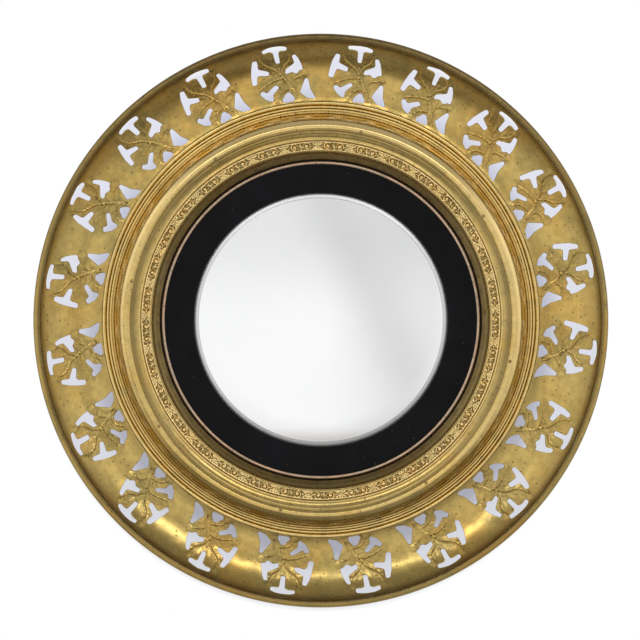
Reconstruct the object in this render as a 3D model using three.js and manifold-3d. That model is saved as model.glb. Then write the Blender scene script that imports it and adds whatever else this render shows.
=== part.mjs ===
// A round convex wall mirror. A bulging looking-glass sits in a flat black ring, inside a stepped
// brass moulding, and a wide dish of pierced sheet brass with a wired edge stands out round it.
// A turned wooden ring carries all of this, and a D-ring on its back hangs on the wall hook.
//
// Millimetres, +Z up. The mirror's axis is Y: the glass looks along -Y and the wall is the plane
// y = 0, with the origin on the axis. Sections are drawn as [radius, forward], where forward is the
// distance in front of the wall.
import * as THREE from "three";
import { mergeVertices } from "three/addons/utils/BufferGeometryUtils.js";
import Module from "manifold-3d";

const wasm = await Module();
wasm.setup();

// ---- Driving dimensions -------------------------------------------------------------------------
const fit = 0.3; // clearance between pieces that seat on each other
const holeFit = 0.4; // radial clearance of a shank in its hole

// Looking-glass
const glassRadius = 127;
const glassCurve = 450; // radius of the bulging front
const glassThickness = 4;
const bevelWidth = 9.4;
const bevelDrop = 1.2; // how far the bevel falls below the curve at the glass's edge

// Black ring, and the slip bead on it
const glassLap = 5; // the black ring covers the glass's edge by this much
const blackRingWidth = 31.7;
const blackRingThickness = 3;
const slipWidth = 3.2;
const slipHeight = 2.2;
const slipInset = 0.9; // from the black ring's outer edge to the slip bead

// Stepped moulding, from the cove beside the black ring out to the beaded foot on the dish
const coveWidth = 9;
const coveDepth = 10.8; // from the scroll band down to the black ring
const bandWidth = 9.6;
const bandThickness = 1.4;
const bandLipHeight = 1.1; // height of the bead along the scroll band's outer edge
const bandDrop = 6.2; // from the crest down to the scroll band
const crestWidth = 14.4;
const ovoloWidth = 11.2;
const ovoloHeight = 18.8;
const footWidth = 12.7;
const footHeight = 3.6;
const mouldingSheet = 1.3;

// Pierced dish
const flangeWidth = 9; // flat flange that the moulding's foot clamps
const flangeInset = 2.4; // the dish starts to curve this far inside the moulding's foot
const dishWidth = 66.5; // from the foot of the dish's curve out to the rim
const troughInset = 16.5; // from the foot of the curve out to the circle nearest to the wall
const troughForward = 15;
const dishDepth = 23.5; // from the trough forward to the middle of the rolled edge
const dishSheet = 1.2;
const wireDiameter = 3.4; // iron wire inside the rolled edge
const wireRoom = 0.7; // radial room round the wire
const rollOpening = 62; // degrees that the rolled edge stays open

// Piercings: sprigs, each inside a round field, and each cut out by the same six holes. They were
// spaced by eye, so these angles, in degrees clockwise from the top, aren't quite even.
const sprigAngles = [
  8.4, 25.4, 43.1, 60.7, 78.6, 96.8, 115.8, 133.7, 152.1, 170, 188.2, 206.4, 225, 243.1, 261.1,
  279.3, 297.5, 315.5, 333.4, 350.3,
];
const drawnWidth = 66.5; // width of dish that the sprig's holes are drawn for
const drawnCentre = 31.5; // and where the centre of the field lies in it

// Wooden carcass, backboard and packing
const carcassInset = 0.5; // the carcass ends this far inside the dish's foot
const glassRoom = 1; // radial room round the glass
const boardLap = 7.9; // the backboard laps its ledge in the carcass by this much
const boardThickness = 3;
const packingThickness = 3.2; // at its outer edge
const packingWidth = 13.5;
const packingInset = 0.4; // the packing stays this far inside the glass's edge

// Fasteners
const pinCount = 8;
const firstPinAngle = 12;
const pinInset = 2; // the pins stand this far inside the crest
const pinHead = { radius: 1.6, height: 0.8, seat: 0.6 }; // seat is the underside over the crest
const pinShank = 0.8;
const pinLength = 14;
const boardScrewCount = 6;
const boardScrew = { head: 2.9, height: 1.6, shank: 1.4, length: 9.5 };

// Hanger: a strap with a rolled eye, and the D-ring that swings in it
const ringWire = 3.2;
const strapWidth = 15;
const strapThickness = 1.2;
const strapSideRoom = 2.4; // from the strap's edge to the D-ring's side
const strapTail = 1; // the strap ends this far above the middle of the bow
const strapScrew = { head: 2.6, height: 1.2, shank: 1.3, length: 7.5 };
const strapScrewPitch = 7.1;
const strapScrewRoom = 2; // from a screw's head to the eye and to the bow
const eyeWall = 1.2;
const eyeSetback = 1.9; // from the wall to the eye
const pocketMargin = 3.5; // room round the D-ring in the pocket that is cut for it

// Facets
const dishSteps = 5; // along each arc of the dish's section
const turnedSegments = 40;
const smallSegments = 6;

// ---- Solids -------------------------------------------------------------------------------------
const rad = THREE.MathUtils.degToRad;
const firstFacet = rad(sprigAngles[0] - 180 / sprigAngles.length);

// The geometry as a solid that can be joined and cut.
function toSolid(geometry) {
  const bare = geometry.index ? geometry : geometry.clone();
  bare.deleteAttribute("normal");
  bare.deleteAttribute("uv");
  const merged = mergeVertices(bare, 1e-4);
  return new wasm.Manifold(
    new wasm.Mesh({
      numProp: 3,
      vertProperties: new Float32Array(merged.attributes.position.array),
      triVerts: new Uint32Array(merged.index.array),
    }),
  );
}

function toGeometry(solid) {
  const mesh = solid.getMesh();
  const geometry = new THREE.BufferGeometry();
  geometry.setAttribute("position", new THREE.BufferAttribute(mesh.vertProperties, 3));
  geometry.setIndex(new THREE.BufferAttribute(mesh.triVerts, 1));
  geometry.computeVertexNormals();
  return geometry;
}

function join(geometries) {
  return toGeometry(geometries.map(toSolid).reduce((whole, piece) => whole.add(piece)));
}

function cut(geometry, tools) {
  return toGeometry(tools.map(toSolid).reduce((left, tool) => left.subtract(tool), toSolid(geometry)));
}

// A solid of revolution round the mirror's axis. The section is a list of [radius, forward] corners,
// which either touches the axis at both ends or is closed here.
function revolve(section, segments = turnedSegments) {
  const points = section.map(([radius, forward]) => new THREE.Vector2(radius, -forward));
  if (THREE.ShapeUtils.area(points) < 0) points.reverse();
  if (points[0].x > 0) points.push(points[0].clone());
  return new THREE.LatheGeometry(points, segments, firstFacet, 2 * Math.PI);
}

// Corners along an arc about [radius, forward], with angles in degrees from outwards to forwards.
function arc([radius, forward], size, from, to, steps) {
  return Array.from({ length: steps + 1 }, (_, i) => {
    const angle = rad(from + ((to - from) * i) / steps);
    return [radius + size * Math.cos(angle), forward + size * Math.sin(angle)];
  });
}

// A prism along the mirror's axis. Its outline is drawn as seen from the front, in x and z.
function prism(outline, from, to) {
  const shape = new THREE.Shape(outline.map(([x, z]) => new THREE.Vector2(x, z)));
  const geometry = new THREE.ExtrudeGeometry(shape, { depth: to - from, bevelEnabled: false });
  return geometry.rotateX(Math.PI / 2).translate(0, -from, 0);
}

// Moves a geometry from the top of the mirror round to an angle, clockwise from the top.
function turn(geometry, degrees) {
  return geometry.rotateY(rad(degrees));
}

function materialOf(color, roughness, metalness) {
  return new THREE.MeshStandardMaterial({ color, roughness, metalness });
}

const brass = materialOf(0xa88a4f, 0.38, 1);
const darkBrass = materialOf(0x96743a, 0.42, 1);
const copperBrass = materialOf(0xa8937a, 0.35, 1);
const iron = materialOf(0x4a4744, 0.6, 1);
const ebony = materialOf(0x1c1c1e, 0.35, 0);
const silver = materialOf(0xe8ebee, 0.03, 1);
const pine = materialOf(0x8a6a44, 0.75, 0);
const board = materialOf(0x6f5436, 0.8, 0);
const felt = materialOf(0x3c4a3a, 0.95, 0);

const mirror = new THREE.Group();

function add(name, geometry, material) {
  const mesh = new THREE.Mesh(geometry, material);
  mesh.name = name;
  mirror.add(mesh);
}

// ---- Circles that the pieces share, from the glass outwards ---------------------------------------
const sightRadius = glassRadius - glassLap;
const blackRingRadius = sightRadius + blackRingWidth;
const coveInnerRadius = blackRingRadius + fit;
const bandInnerRadius = coveInnerRadius + coveWidth;
const bandOuterRadius = bandInnerRadius + bandWidth;
const crestRadius = bandOuterRadius + crestWidth;
const ovoloRadius = crestRadius + ovoloWidth;
const footRadius = ovoloRadius + footWidth;
const dishFootRadius = footRadius - flangeInset;
const troughRadius = dishFootRadius + troughInset;
const rimRadius = dishFootRadius + dishWidth;

// ---- Pierced dish and its wire ------------------------------------------------------------------
const wireSpace = wireDiameter / 2 + wireRoom; // inner radius of the roll
const rollRadius = wireSpace + dishSheet;
const rollCentre = [rimRadius - rollRadius, troughForward + wireSpace + dishDepth];

// The sheet runs along the trough's arc until it meets the roll, which stands in front of it. Seen
// from the arc's centre, the roll's centre lies the roll's inner radius nearer than the sheet.
const rollReach = rollCentre[0] - troughRadius;
const rollDistance = (rollReach * rollReach + dishDepth * dishDepth) / (2 * dishDepth);
const troughCurve = rollDistance + wireSpace;
const troughCentre = [troughRadius, troughForward + troughCurve];
const footAngle = Math.asin(-troughInset / troughCurve);
const flangeForward = troughCentre[1] - troughCurve * Math.cos(footAngle);
const flangeInnerRadius = dishFootRadius - flangeWidth;

// Angles of the trough's arc, and of the roll's, as seen from their centres.
const troughFrom = THREE.MathUtils.radToDeg(footAngle) - 90;
const troughTo = THREE.MathUtils.radToDeg(Math.asin(rollReach / rollDistance)) - 90;
const rollTo = troughTo + 360 - rollOpening;
const dishSection = [
  [flangeInnerRadius, flangeForward],
  ...arc(troughCentre, troughCurve, troughFrom, troughTo, dishSteps),
  ...arc(rollCentre, wireSpace, troughTo, rollTo, dishSteps - 1).slice(1),
  ...arc(rollCentre, rollRadius, rollTo, troughTo, dishSteps),
  ...arc(troughCentre, troughCurve + dishSheet, troughTo, troughFrom, dishSteps).slice(1),
  [flangeInnerRadius, flangeForward - dishSheet],
];

// One sprig's holes, as corners from the centre of its field: x along the rim, clockwise, and z
// outwards. Three T-shaped gaps divide the upper leaves, and three more lie among the lower ones.
const upperGap = [[-12, 20.4], [-12, 23.8], [0, 25.4], [11.6, 23.8], [11.6, 19.8], [3, 19.4]];
const upperGapStem = [[2.8, 9], [-1.4, 9], [-2.2, 19.6]];
const leftGap = [[-22.6, 15], [-26.2, 3], [-26.8, -7.8], [-22, -7.4], [-20.2, 1], [-9.6, -0.6]];
const leftGapStem = [[-9.6, 3.2], [-19.2, 6.8], [-18.6, 15]];
const rightGap = [[15, 14.4], [18.8, 14.6], [22.2, 6.5], [23.4, -0.8], [16.6, -3.6], [12.4, -1]];
const rightGapStem = [[6.2, -1.8], [7.4, 2.2], [16.2, 7]];
const lowerLeftGap = [[-20.8, -17], [-18.6, -14.2], [-14.5, -16.6], [-5.6, -10.8], [-2.2, -12.8]];
const lowerLeftGapStem = [[-9.2, -19], [-9.6, -26.4], [-16.4, -23]];
const dropGap = [[6.6, -19], [-1.2, -26], [-0.2, -28.2], [10.8, -28.2], [10.6, -25]];
const cornerGap = [[24.2, -9], [26.6, -14], [27.2, -20], [30.6, -30], [22, -27.4], [15.9, -21.6]];
const sprigHoles = [
  [...upperGap, ...upperGapStem],
  [...leftGap, ...leftGapStem],
  [...rightGap, ...rightGapStem],
  [...lowerLeftGap, ...lowerLeftGapStem],
  dropGap,
  cornerGap,
];

function piercings() {
  const size = dishWidth / drawnWidth;
  const sprigRadius = dishFootRadius + drawnCentre * size;
  const tools = [];
  for (const sprigAngle of sprigAngles) {
    for (const corners of sprigHoles) {
      const outline = corners.map(([x, z]) => [x * size, sprigRadius + z * size]);
      const tool = prism(outline, 0, rollCentre[1] + rollRadius);
      tools.push(turn(tool, sprigAngle));
    }
  }
  return tools;
}

add("pierced_dish", cut(revolve(dishSection), piercings()), brass);
add("rim_wire", revolve(arc(rollCentre, wireDiameter / 2, 0, 288, 4)), iron);

// ---- Stepped moulding ---------------------------------------------------------------------------
const footSeat = flangeForward + fit;
const footForward = footSeat + footHeight;
const crestForward = footForward + ovoloHeight;
const bandForward = crestForward - bandDrop;
const bandSeat = bandForward - bandThickness - fit;
const blackRingForward = bandForward - coveDepth;
const blackRingSeat = blackRingForward - blackRingThickness - fit;

// Corners of the section, as shares of the foot's, the crest's and the cove's width and height.
const onFoot = ([share, height]) => [footRadius - share * footWidth, footForward + height * footHeight];
const onCrest = ([share, drop]) => [crestRadius - share * crestWidth, crestForward - drop * bandDrop];
const onCove = ([share, height]) => [
  bandInnerRadius - share * coveWidth,
  blackRingForward + height * (bandSeat - blackRingForward),
];

// The tall quarter-round between the foot and the crest.
function ovolo(inset, steps) {
  return Array.from({ length: steps + 1 }, (_, i) => {
    const angle = (i * Math.PI) / 2 / steps;
    return [
      crestRadius + (ovoloWidth - inset) * Math.cos(angle),
      footForward + (ovoloHeight - inset) * Math.sin(angle),
    ];
  });
}

// The foot has a broad bead, two narrow ones and a groove, and a quirk lies inside the crest.
const footBeads = [[0, -0.5], [0.12, -0.05], [0.28, -0.05], [0.39, -0.53], [0.51, -0.03]];
const footGroove = [[0.61, -0.25], [0.72, 0.28], [0.9, -0.17]];
const crestQuirk = [[0.24, 0.1], [0.39, 0.42], [0.47, 0.35], [0.73, 0.68]];
const coveCurve = [[0.09, 1], [0.33, 0.55], [0.64, 0.2]];
const mouldingFront = [
  [footRadius, footSeat],
  ...[...footBeads, ...footGroove].map(onFoot),
  ...ovolo(0, 5),
  ...crestQuirk.map(onCrest),
  [bandOuterRadius + fit, bandForward + fit],
  [bandOuterRadius + fit, bandSeat],
  ...coveCurve.map(onCove),
  [coveInnerRadius, blackRingForward + fit],
];
const mouldingBack = [
  [coveInnerRadius, blackRingForward + fit - mouldingSheet],
  onCove([0.44, 0.09]),
  [bandInnerRadius + 0.2, bandSeat - mouldingSheet],
  [bandOuterRadius + mouldingSheet + fit, bandSeat - mouldingSheet],
  [crestRadius - 0.4 * crestWidth, crestForward - mouldingSheet - 0.47 * bandDrop],
  ...ovolo(mouldingSheet, 3).reverse(),
  [ovoloRadius - mouldingSheet, footSeat],
];
const pinAngles = Array.from({ length: pinCount }, (_, i) => firstPinAngle + (i * 360) / pinCount);
const pinRadius = crestRadius - pinInset;

// A tool for the hole of a shank that stands at a radius, at an angle round the mirror.
function shankHole(radius, angle, shank, from, to) {
  const size = shank + holeFit;
  const hole = new THREE.CylinderGeometry(size, size, to - from, smallSegments);
  return turn(hole.translate(0, -(from + to) / 2, radius), angle);
}

function pinHoles(from, to) {
  return pinAngles.map((angle) => shankHole(pinRadius, angle, pinShank, from, to));
}

add(
  "stepped_moulding",
  cut(revolve([...mouldingFront, ...mouldingBack]), pinHoles(0, 2 * crestForward)),
  darkBrass,
);

// The stamped scroll band lies in the moulding's seat, with a bead along its outer edge.
add(
  "scroll_band",
  revolve([
    [bandInnerRadius, bandForward - bandThickness],
    [bandOuterRadius, bandForward - bandThickness],
    [bandOuterRadius, bandForward + bandLipHeight * 0.6],
    [bandOuterRadius - bandWidth * 0.08, bandForward + bandLipHeight],
    [bandOuterRadius - bandWidth * 0.19, bandForward],
    [bandInnerRadius, bandForward],
  ]),
  brass,
);

// ---- Black ring, slip bead, looking-glass -------------------------------------------------------
const blackRingBack = blackRingForward - blackRingThickness;
add(
  "ebonised_ring",
  revolve([
    [sightRadius, blackRingBack],
    [blackRingRadius, blackRingBack],
    [blackRingRadius, blackRingForward],
    [sightRadius + blackRingThickness / 4, blackRingForward],
    [sightRadius, blackRingForward - blackRingThickness / 4],
  ]),
  ebony,
);

const slipCentre = [blackRingRadius - slipInset - slipWidth / 2, blackRingForward + fit];
add(
  "slip_bead",
  revolve(
    Array.from({ length: 5 }, (_, i) => [
      slipCentre[0] + (slipWidth / 2) * Math.cos((i * Math.PI) / 4),
      slipCentre[1] + slipHeight * Math.sin((i * Math.PI) / 4),
    ]),
  ),
  copperBrass,
);

// How far the glass has fallen back at a radius from its pole, on its front and on its back.
const bevelRadius = glassRadius - bevelWidth;
const fall = (radius, curve) => curve - Math.sqrt(curve * curve - radius * radius);
const frontFall = (radius) =>
  fall(radius, glassCurve) + (Math.max(0, radius - bevelRadius) / bevelWidth) * bevelDrop;
const glassForward = blackRingBack - fit + frontFall(sightRadius);
const glassBack = (radius) =>
  glassForward - glassThickness - fall(radius, glassCurve - glassThickness);
const glassRings = [0.35, 0.7, 1].map((share) => share * bevelRadius);

add(
  "mirror_glass",
  revolve([
    [0, glassForward],
    ...[...glassRings, glassRadius].map((radius) => [radius, glassForward - frontFall(radius)]),
    ...[glassRadius, ...glassRings.slice().reverse()].map((radius) => [radius, glassBack(radius)]),
    [0, glassForward - glassThickness],
  ]),
  silver,
);

// ---- Packing, backboard and carcass -------------------------------------------------------------
const packingOuter = glassRadius - packingInset;
const packingInner = packingOuter - packingWidth;
const boardSeat = glassBack(packingOuter) - fit - packingThickness;
const boardFront = boardSeat - fit;
const boardRear = boardFront - boardThickness;
const carcassInner = glassRadius + glassRoom;
const boardRadius = carcassInner + boardLap;
const carcassRadius = dishFootRadius - carcassInset;

add(
  "glass_packing",
  revolve([
    [packingInner, boardSeat],
    [packingOuter, boardSeat],
    [packingOuter, glassBack(packingOuter) - fit],
    [packingInner, glassBack(packingInner) - fit],
  ]),
  felt,
);

// Each screw stands behind the board, over the middle of the ledge.
const boardScrewSeat = boardRear - fit;
const boardScrewRadius = carcassInner + boardLap / 2;
const boardScrewAngles = Array.from(
  { length: boardScrewCount },
  (_, i) => ((i + 0.5) * 360) / boardScrewCount,
);
const boardScrewHoles = boardScrewAngles.map((angle) =>
  shankHole(boardScrewRadius, angle, boardScrew.shank, 0, boardScrewSeat + boardScrew.length + 1),
);

add(
  "backboard",
  cut(
    revolve([
      [0, boardRear],
      [boardRadius, boardRear],
      [boardRadius, boardFront],
      [0, boardFront],
    ]),
    boardScrewHoles,
  ),
  board,
);

// The D-ring, hanging or turned up, lies in a pocket in the middle of the carcass's rear face.
const boardRoom = boardRadius + fit;
const hingeHeight = (boardRoom + carcassRadius) / 2;
const ringRadius = ringWire / 2;
const eyeBore = ringRadius + fit;
const eyeRadius = eyeBore + eyeWall;
const hingeForward = eyeSetback + eyeRadius;
const strapFront = hingeForward + eyeRadius;
const strapRear = strapFront - strapThickness;
const upperScrewDrop = eyeRadius + strapScrewRoom + strapScrew.head;
const lowerScrewDrop = upperScrewDrop + strapScrewPitch;
const ringDrop = lowerScrewDrop + strapScrew.head + strapScrewRoom + ringRadius;
const ringHalfWidth = strapWidth / 2 + strapSideRoom + ringRadius;

function hangerPocket() {
  const reach = ringDrop + ringRadius + pocketMargin;
  const halfWidth = ringHalfWidth + ringRadius + pocketMargin;
  const outline = [[-1, -1], [1, -1], [1, 1], [-1, 1]].map(([x, z]) => [
    x * halfWidth,
    hingeHeight + z * reach,
  ]);
  return prism(outline, -1, strapFront + fit);
}

const strapScrewSeat = strapRear - fit;
const strapScrewHeights = [upperScrewDrop, lowerScrewDrop].map((drop) => hingeHeight - drop);
const strapScrewHoles = strapScrewHeights.map((height) =>
  shankHole(height, 0, strapScrew.shank, 0, strapScrewSeat + strapScrew.length + 1),
);

// The wood follows the back of the moulding that it carries.
const flangeSeat = flangeForward - dishSheet - fit;
const bandBack = bandSeat - mouldingSheet - fit;
const carcassSection = [
  [boardRoom, 0],
  [carcassRadius, 0],
  [carcassRadius, flangeSeat],
  [ovoloRadius - mouldingSheet - fit, flangeSeat],
  ...ovolo(mouldingSheet + fit + 0.1, 3),
  [crestRadius - 0.42 * crestWidth, crestForward - mouldingSheet - fit - 0.48 * bandDrop],
  [bandOuterRadius + mouldingSheet + 2 * fit, bandBack],
  [bandInnerRadius + 0.7, bandBack],
  onCove([0.4, 0.04]),
  [coveInnerRadius + 1, blackRingForward - mouldingSheet - 0.2],
  [coveInnerRadius + 1, blackRingSeat],
  [carcassInner, blackRingSeat],
  [carcassInner, boardSeat],
  [boardRoom, boardSeat],
];

add(
  "carcass_ring",
  cut(revolve(carcassSection), [
    hangerPocket(),
    ...strapScrewHoles,
    ...boardScrewHoles,
    ...pinHoles(crestForward - pinLength - 1, 2 * crestForward),
  ]),
  pine,
);

// ---- Fasteners ----------------------------------------------------------------------------------
// A pin with a domed head, whose underside lies on the plane y = 0.
function pin() {
  return revolve(
    [
      [0, pinHead.height],
      [pinHead.radius * 0.7, pinHead.height * 0.7],
      [pinHead.radius, 0],
      [pinShank, 0],
      [pinShank, 2 * pinShank - pinLength],
      [0, -pinLength],
    ],
    smallSegments,
  );
}

// A slotted round-head wood screw that points forwards, with its head behind the plane y = 0.
function screw({ head, height, shank, length }) {
  const body = revolve(
    [
      [0, -height],
      [head * 0.7, -height * 0.85],
      [head, 0],
      [shank, 0],
      [shank, length - 2 * shank],
      [0, length],
    ],
    smallSegments,
  );
  const slot = new THREE.BoxGeometry(3 * head, height, head * 0.3);
  return cut(body, [slot.translate(0, height, 0)]);
}

pinAngles.forEach((angle, i) => {
  const placed = pin().translate(0, -(crestForward + pinHead.seat), pinRadius);
  add(`brass_pin_${i + 1}`, turn(placed, angle), brass);
});

boardScrewAngles.forEach((angle, i) => {
  const placed = screw(boardScrew).translate(0, -boardScrewSeat, boardScrewRadius);
  add(`backboard_screw_${i + 1}`, turn(placed, angle), iron);
});

strapScrewHeights.forEach((height, i) => {
  add(`strap_screw_${i + 1}`, screw(strapScrew).translate(0, -strapScrewSeat, height), iron);
});

// ---- Hanger -------------------------------------------------------------------------------------
// The strap's section, seen from the side, is a flat tail that rolls over into the eye.
function strapGeometry() {
  const tailMeetsEye = Math.asin((strapRear - hingeForward) / eyeRadius);
  const outline = new THREE.Shape();
  outline.moveTo(strapTail - ringDrop, strapRear);
  outline.lineTo(strapTail - ringDrop, strapFront);
  outline.lineTo(0, strapFront);
  outline.absarc(0, hingeForward, eyeRadius, Math.PI / 2, -Math.PI - tailMeetsEye, true);
  const bore = new THREE.Path();
  bore.absarc(0, hingeForward, eyeBore, 0, 2 * Math.PI, false);
  outline.holes.push(bore);
  const geometry = new THREE.ExtrudeGeometry(outline, {
    depth: strapWidth,
    bevelEnabled: false,
    curveSegments: 12,
  });
  // The outline's x runs up, its y runs forwards and the extrusion runs across.
  const up = new THREE.Vector3(0, 0, 1);
  const forwards = new THREE.Vector3(0, -1, 0);
  const across = new THREE.Vector3(1, 0, 0);
  const place = new THREE.Matrix4().makeBasis(up, forwards, across);
  place.setPosition(-strapWidth / 2, 0, hingeHeight);
  return cut(geometry.applyMatrix4(place), strapScrewHoles);
}

// The D-ring is a bar through the eye, joined to a half-oval bow.
function ringGeometry() {
  const bowPoints = Array.from({ length: 13 }, (_, i) => {
    const angle = (i * Math.PI) / 12;
    return new THREE.Vector3(ringHalfWidth * Math.cos(angle), 0, -ringDrop * Math.sin(angle));
  });
  const wire = new THREE.Shape();
  wire.absarc(0, 0, ringRadius, 0, 2 * Math.PI, false);
  const bow = new THREE.ExtrudeGeometry(wire, {
    steps: 14,
    curveSegments: 4,
    extrudePath: new THREE.CatmullRomCurve3(bowPoints),
  });
  const barLength = 2 * (ringHalfWidth + ringRadius);
  const bar = new THREE.CylinderGeometry(ringRadius, ringRadius, barLength, 8);
  return join([bow, bar.rotateZ(Math.PI / 2)]).translate(0, -hingeForward, hingeHeight);
}

add("hanger_strap", strapGeometry(), brass);
add("hanging_ring", ringGeometry(), brass);

export default mirror;
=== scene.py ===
"""A round convex wall mirror in a pierced brass dish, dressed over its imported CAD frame.

Sections are drawn as (radius, forward) in millimetres, where forward is the distance in front of the
wall, and an angle round the mirror runs clockwise from the top. Blender's units are metres.
"""

import math

import bpy
import numpy as np
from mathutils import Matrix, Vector
from mathutils.geometry import delaunay_2d_cdt


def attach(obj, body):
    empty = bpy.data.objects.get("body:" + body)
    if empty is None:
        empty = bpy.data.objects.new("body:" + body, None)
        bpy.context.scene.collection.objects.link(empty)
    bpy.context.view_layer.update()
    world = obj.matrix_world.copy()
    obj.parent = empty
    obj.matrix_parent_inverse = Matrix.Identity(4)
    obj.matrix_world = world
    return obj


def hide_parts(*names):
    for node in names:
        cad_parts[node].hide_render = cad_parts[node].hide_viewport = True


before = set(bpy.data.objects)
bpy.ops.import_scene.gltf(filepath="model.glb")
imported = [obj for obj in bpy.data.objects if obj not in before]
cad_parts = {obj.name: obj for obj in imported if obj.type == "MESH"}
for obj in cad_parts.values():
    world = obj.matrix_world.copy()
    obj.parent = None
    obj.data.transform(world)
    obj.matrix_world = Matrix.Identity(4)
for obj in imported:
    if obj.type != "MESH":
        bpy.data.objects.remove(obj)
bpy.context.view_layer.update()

MM = 0.001
FIXED = "mirror_body"
SWINGING = "hanging_ring_body"

# ---- Camera ---------------------------------------------------------------------------------------
CAMERA_DISTANCE = 6.0
CAMERA_RISE = math.radians(3.5)
CAMERA_TARGET = Vector((-0.0008, -0.041, 0.0013))
RIM_PIXELS = 287.2
RIM_RADIUS = 0.2747
IMAGE_PIXELS = 640

camera_data = bpy.data.cameras.new("camera")
camera_data.sensor_width = 36.0
camera_data.lens = 36.0 / IMAGE_PIXELS * RIM_PIXELS * CAMERA_DISTANCE / RIM_RADIUS
camera = bpy.data.objects.new("camera", camera_data)
bpy.context.scene.collection.objects.link(camera)
camera_back = Vector((0.0, -math.cos(CAMERA_RISE), math.sin(CAMERA_RISE)))
camera.location = CAMERA_TARGET + CAMERA_DISTANCE * camera_back
camera.rotation_euler = (-camera_back).to_track_quat("-Z", "Y").to_euler()
bpy.context.scene.camera = camera
bpy.context.scene.view_settings.view_transform = "Standard"


# ---- Shader nodes ---------------------------------------------------------------------------------
class Shading:
    """Adds shader nodes to one tree by short calls, most of which return the node's main output."""

    def __init__(self, tree):
        self.tree = tree

    def join(self, value, socket):
        """Links another node's output to the socket, or sets a plain value on it."""
        if isinstance(value, bpy.types.NodeSocket):
            self.tree.links.new(value, socket)
        else:
            socket.default_value = value

    def node(self, kind, inputs=None, **settings):
        made = self.tree.nodes.new(kind)
        for key, value in settings.items():
            setattr(made, key, value)
        for key, value in (inputs or {}).items():
            self.join(value, made.inputs[key])
        return made

    def math(self, operation, *values, clamp=False):
        numbered = dict(enumerate(values))
        return self.node("ShaderNodeMath", numbered, operation=operation, use_clamp=clamp).outputs[0]

    def plus(self, first, second, clamp=False):
        return self.math("ADD", first, second, clamp=clamp)

    def minus(self, first, second):
        return self.math("SUBTRACT", first, second)

    def times(self, first, second, clamp=False):
        return self.math("MULTIPLY", first, second, clamp=clamp)

    def blend(self, share, first, second):
        """A number that goes from the first to the second as the share goes from 0 to 1."""
        return self.plus(first, self.times(share, self.minus(second, first)))

    def vector_math(self, operation, *values):
        return self.node("ShaderNodeVectorMath", dict(enumerate(values)), operation=operation)

    def smooth(self, value, low, high, to_low=0.0, to_high=1.0):
        """The result at a value between low and high, held beyond them.

        It is eased at both ends where low lies under high, and straight where it lies over it.
        """
        names = ("Value", "From Min", "From Max", "To Min", "To Max")
        inputs = dict(zip(names, (value, low, high, to_low, to_high)))
        kind = "SMOOTHSTEP" if low < high else "LINEAR"
        return self.node("ShaderNodeMapRange", inputs, interpolation_type=kind).outputs[0]

    def mix(self, share, first, second, blend="MIX"):
        """The mix of two colours, each a socket or a plain (red, green, blue)."""
        made = self.node("ShaderNodeMix", {0: share}, data_type="RGBA", blend_type=blend)
        sockets = [socket for socket in made.inputs if socket.type == "RGBA"]
        for socket, colour in zip(sockets, (first, second)):
            self.join(colour if isinstance(colour, bpy.types.NodeSocket) else (*colour, 1.0), socket)
        return [socket for socket in made.outputs if socket.type == "RGBA"][0]

    def noise(self, vector, scale, detail, roughness=0.55):
        inputs = {"Vector": vector, "Scale": scale, "Detail": detail, "Roughness": roughness}
        return self.node("ShaderNodeTexNoise", inputs).outputs[0]

    def specks(self, vector, scale, sizes, picks):
        """Specks round scattered points: sizes fade their rims, and picks say how few are kept."""
        cells = self.node("ShaderNodeTexVoronoi", {"Vector": vector, "Scale": scale})
        pick = self.node("ShaderNodeSeparateColor", {"Color": cells.outputs["Color"]}).outputs[0]
        return self.times(self.smooth(cells.outputs["Distance"], *sizes), self.smooth(pick, *picks))

    def shifted(self, vector, x, y, z):
        return self.vector_math("ADD", vector, (x, y, z)).outputs[0]

    def stretched(self, vector, x, y, z):
        return self.vector_math("MULTIPLY", vector, (x, y, z)).outputs[0]

    def polar(self, vector):
        """Radius round the mirror's axis, and the direction outwards."""
        flat = self.stretched(vector, 1.0, 0.0, 1.0)
        radius = self.vector_math("LENGTH", flat).outputs["Value"]
        outwards = self.vector_math("NORMALIZE", flat).outputs[0]
        return radius, outwards

    def turned(self, vector, across, along):
        """Coordinates for marks that run round the axis: fine across them and long along them."""
        radius, outwards = self.polar(vector)
        depth = self.stretched(vector, 0.0, across, 0.0)
        round_part = self.stretched(outwards, along, along, along)
        spread = self.node("ShaderNodeCombineXYZ", {"X": self.times(radius, across)}).outputs[0]
        joined = self.vector_math("ADD", round_part, spread).outputs[0]
        return self.vector_math("ADD", joined, depth).outputs[0]


def new_material(name, **constants):
    material = bpy.data.materials.new(name)
    material.use_nodes = True
    tree = material.node_tree
    tree.nodes.clear()
    shading = Shading(tree)
    shader = shading.node("ShaderNodeBsdfPrincipled", constants)
    output = shading.node("ShaderNodeOutputMaterial")
    tree.links.new(shader.outputs["BSDF"], output.inputs["Surface"])
    coords = shading.node("ShaderNodeTexCoord").outputs["Object"]
    return material, shading, shader, coords


def dress(shading, shader, colour, rough, height=None, depth=None):
    """Links a material's colour and roughness, and its relief with a depth in metres."""
    shading.join(colour, shader.inputs["Base Color"])
    shading.join(rough, shader.inputs["Roughness"])
    if height is not None:
        bump = shading.node("ShaderNodeBump", {"Height": height, "Distance": depth, "Strength": 1.0})
        shading.join(bump.outputs[0], shader.inputs["Normal"])


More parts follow.
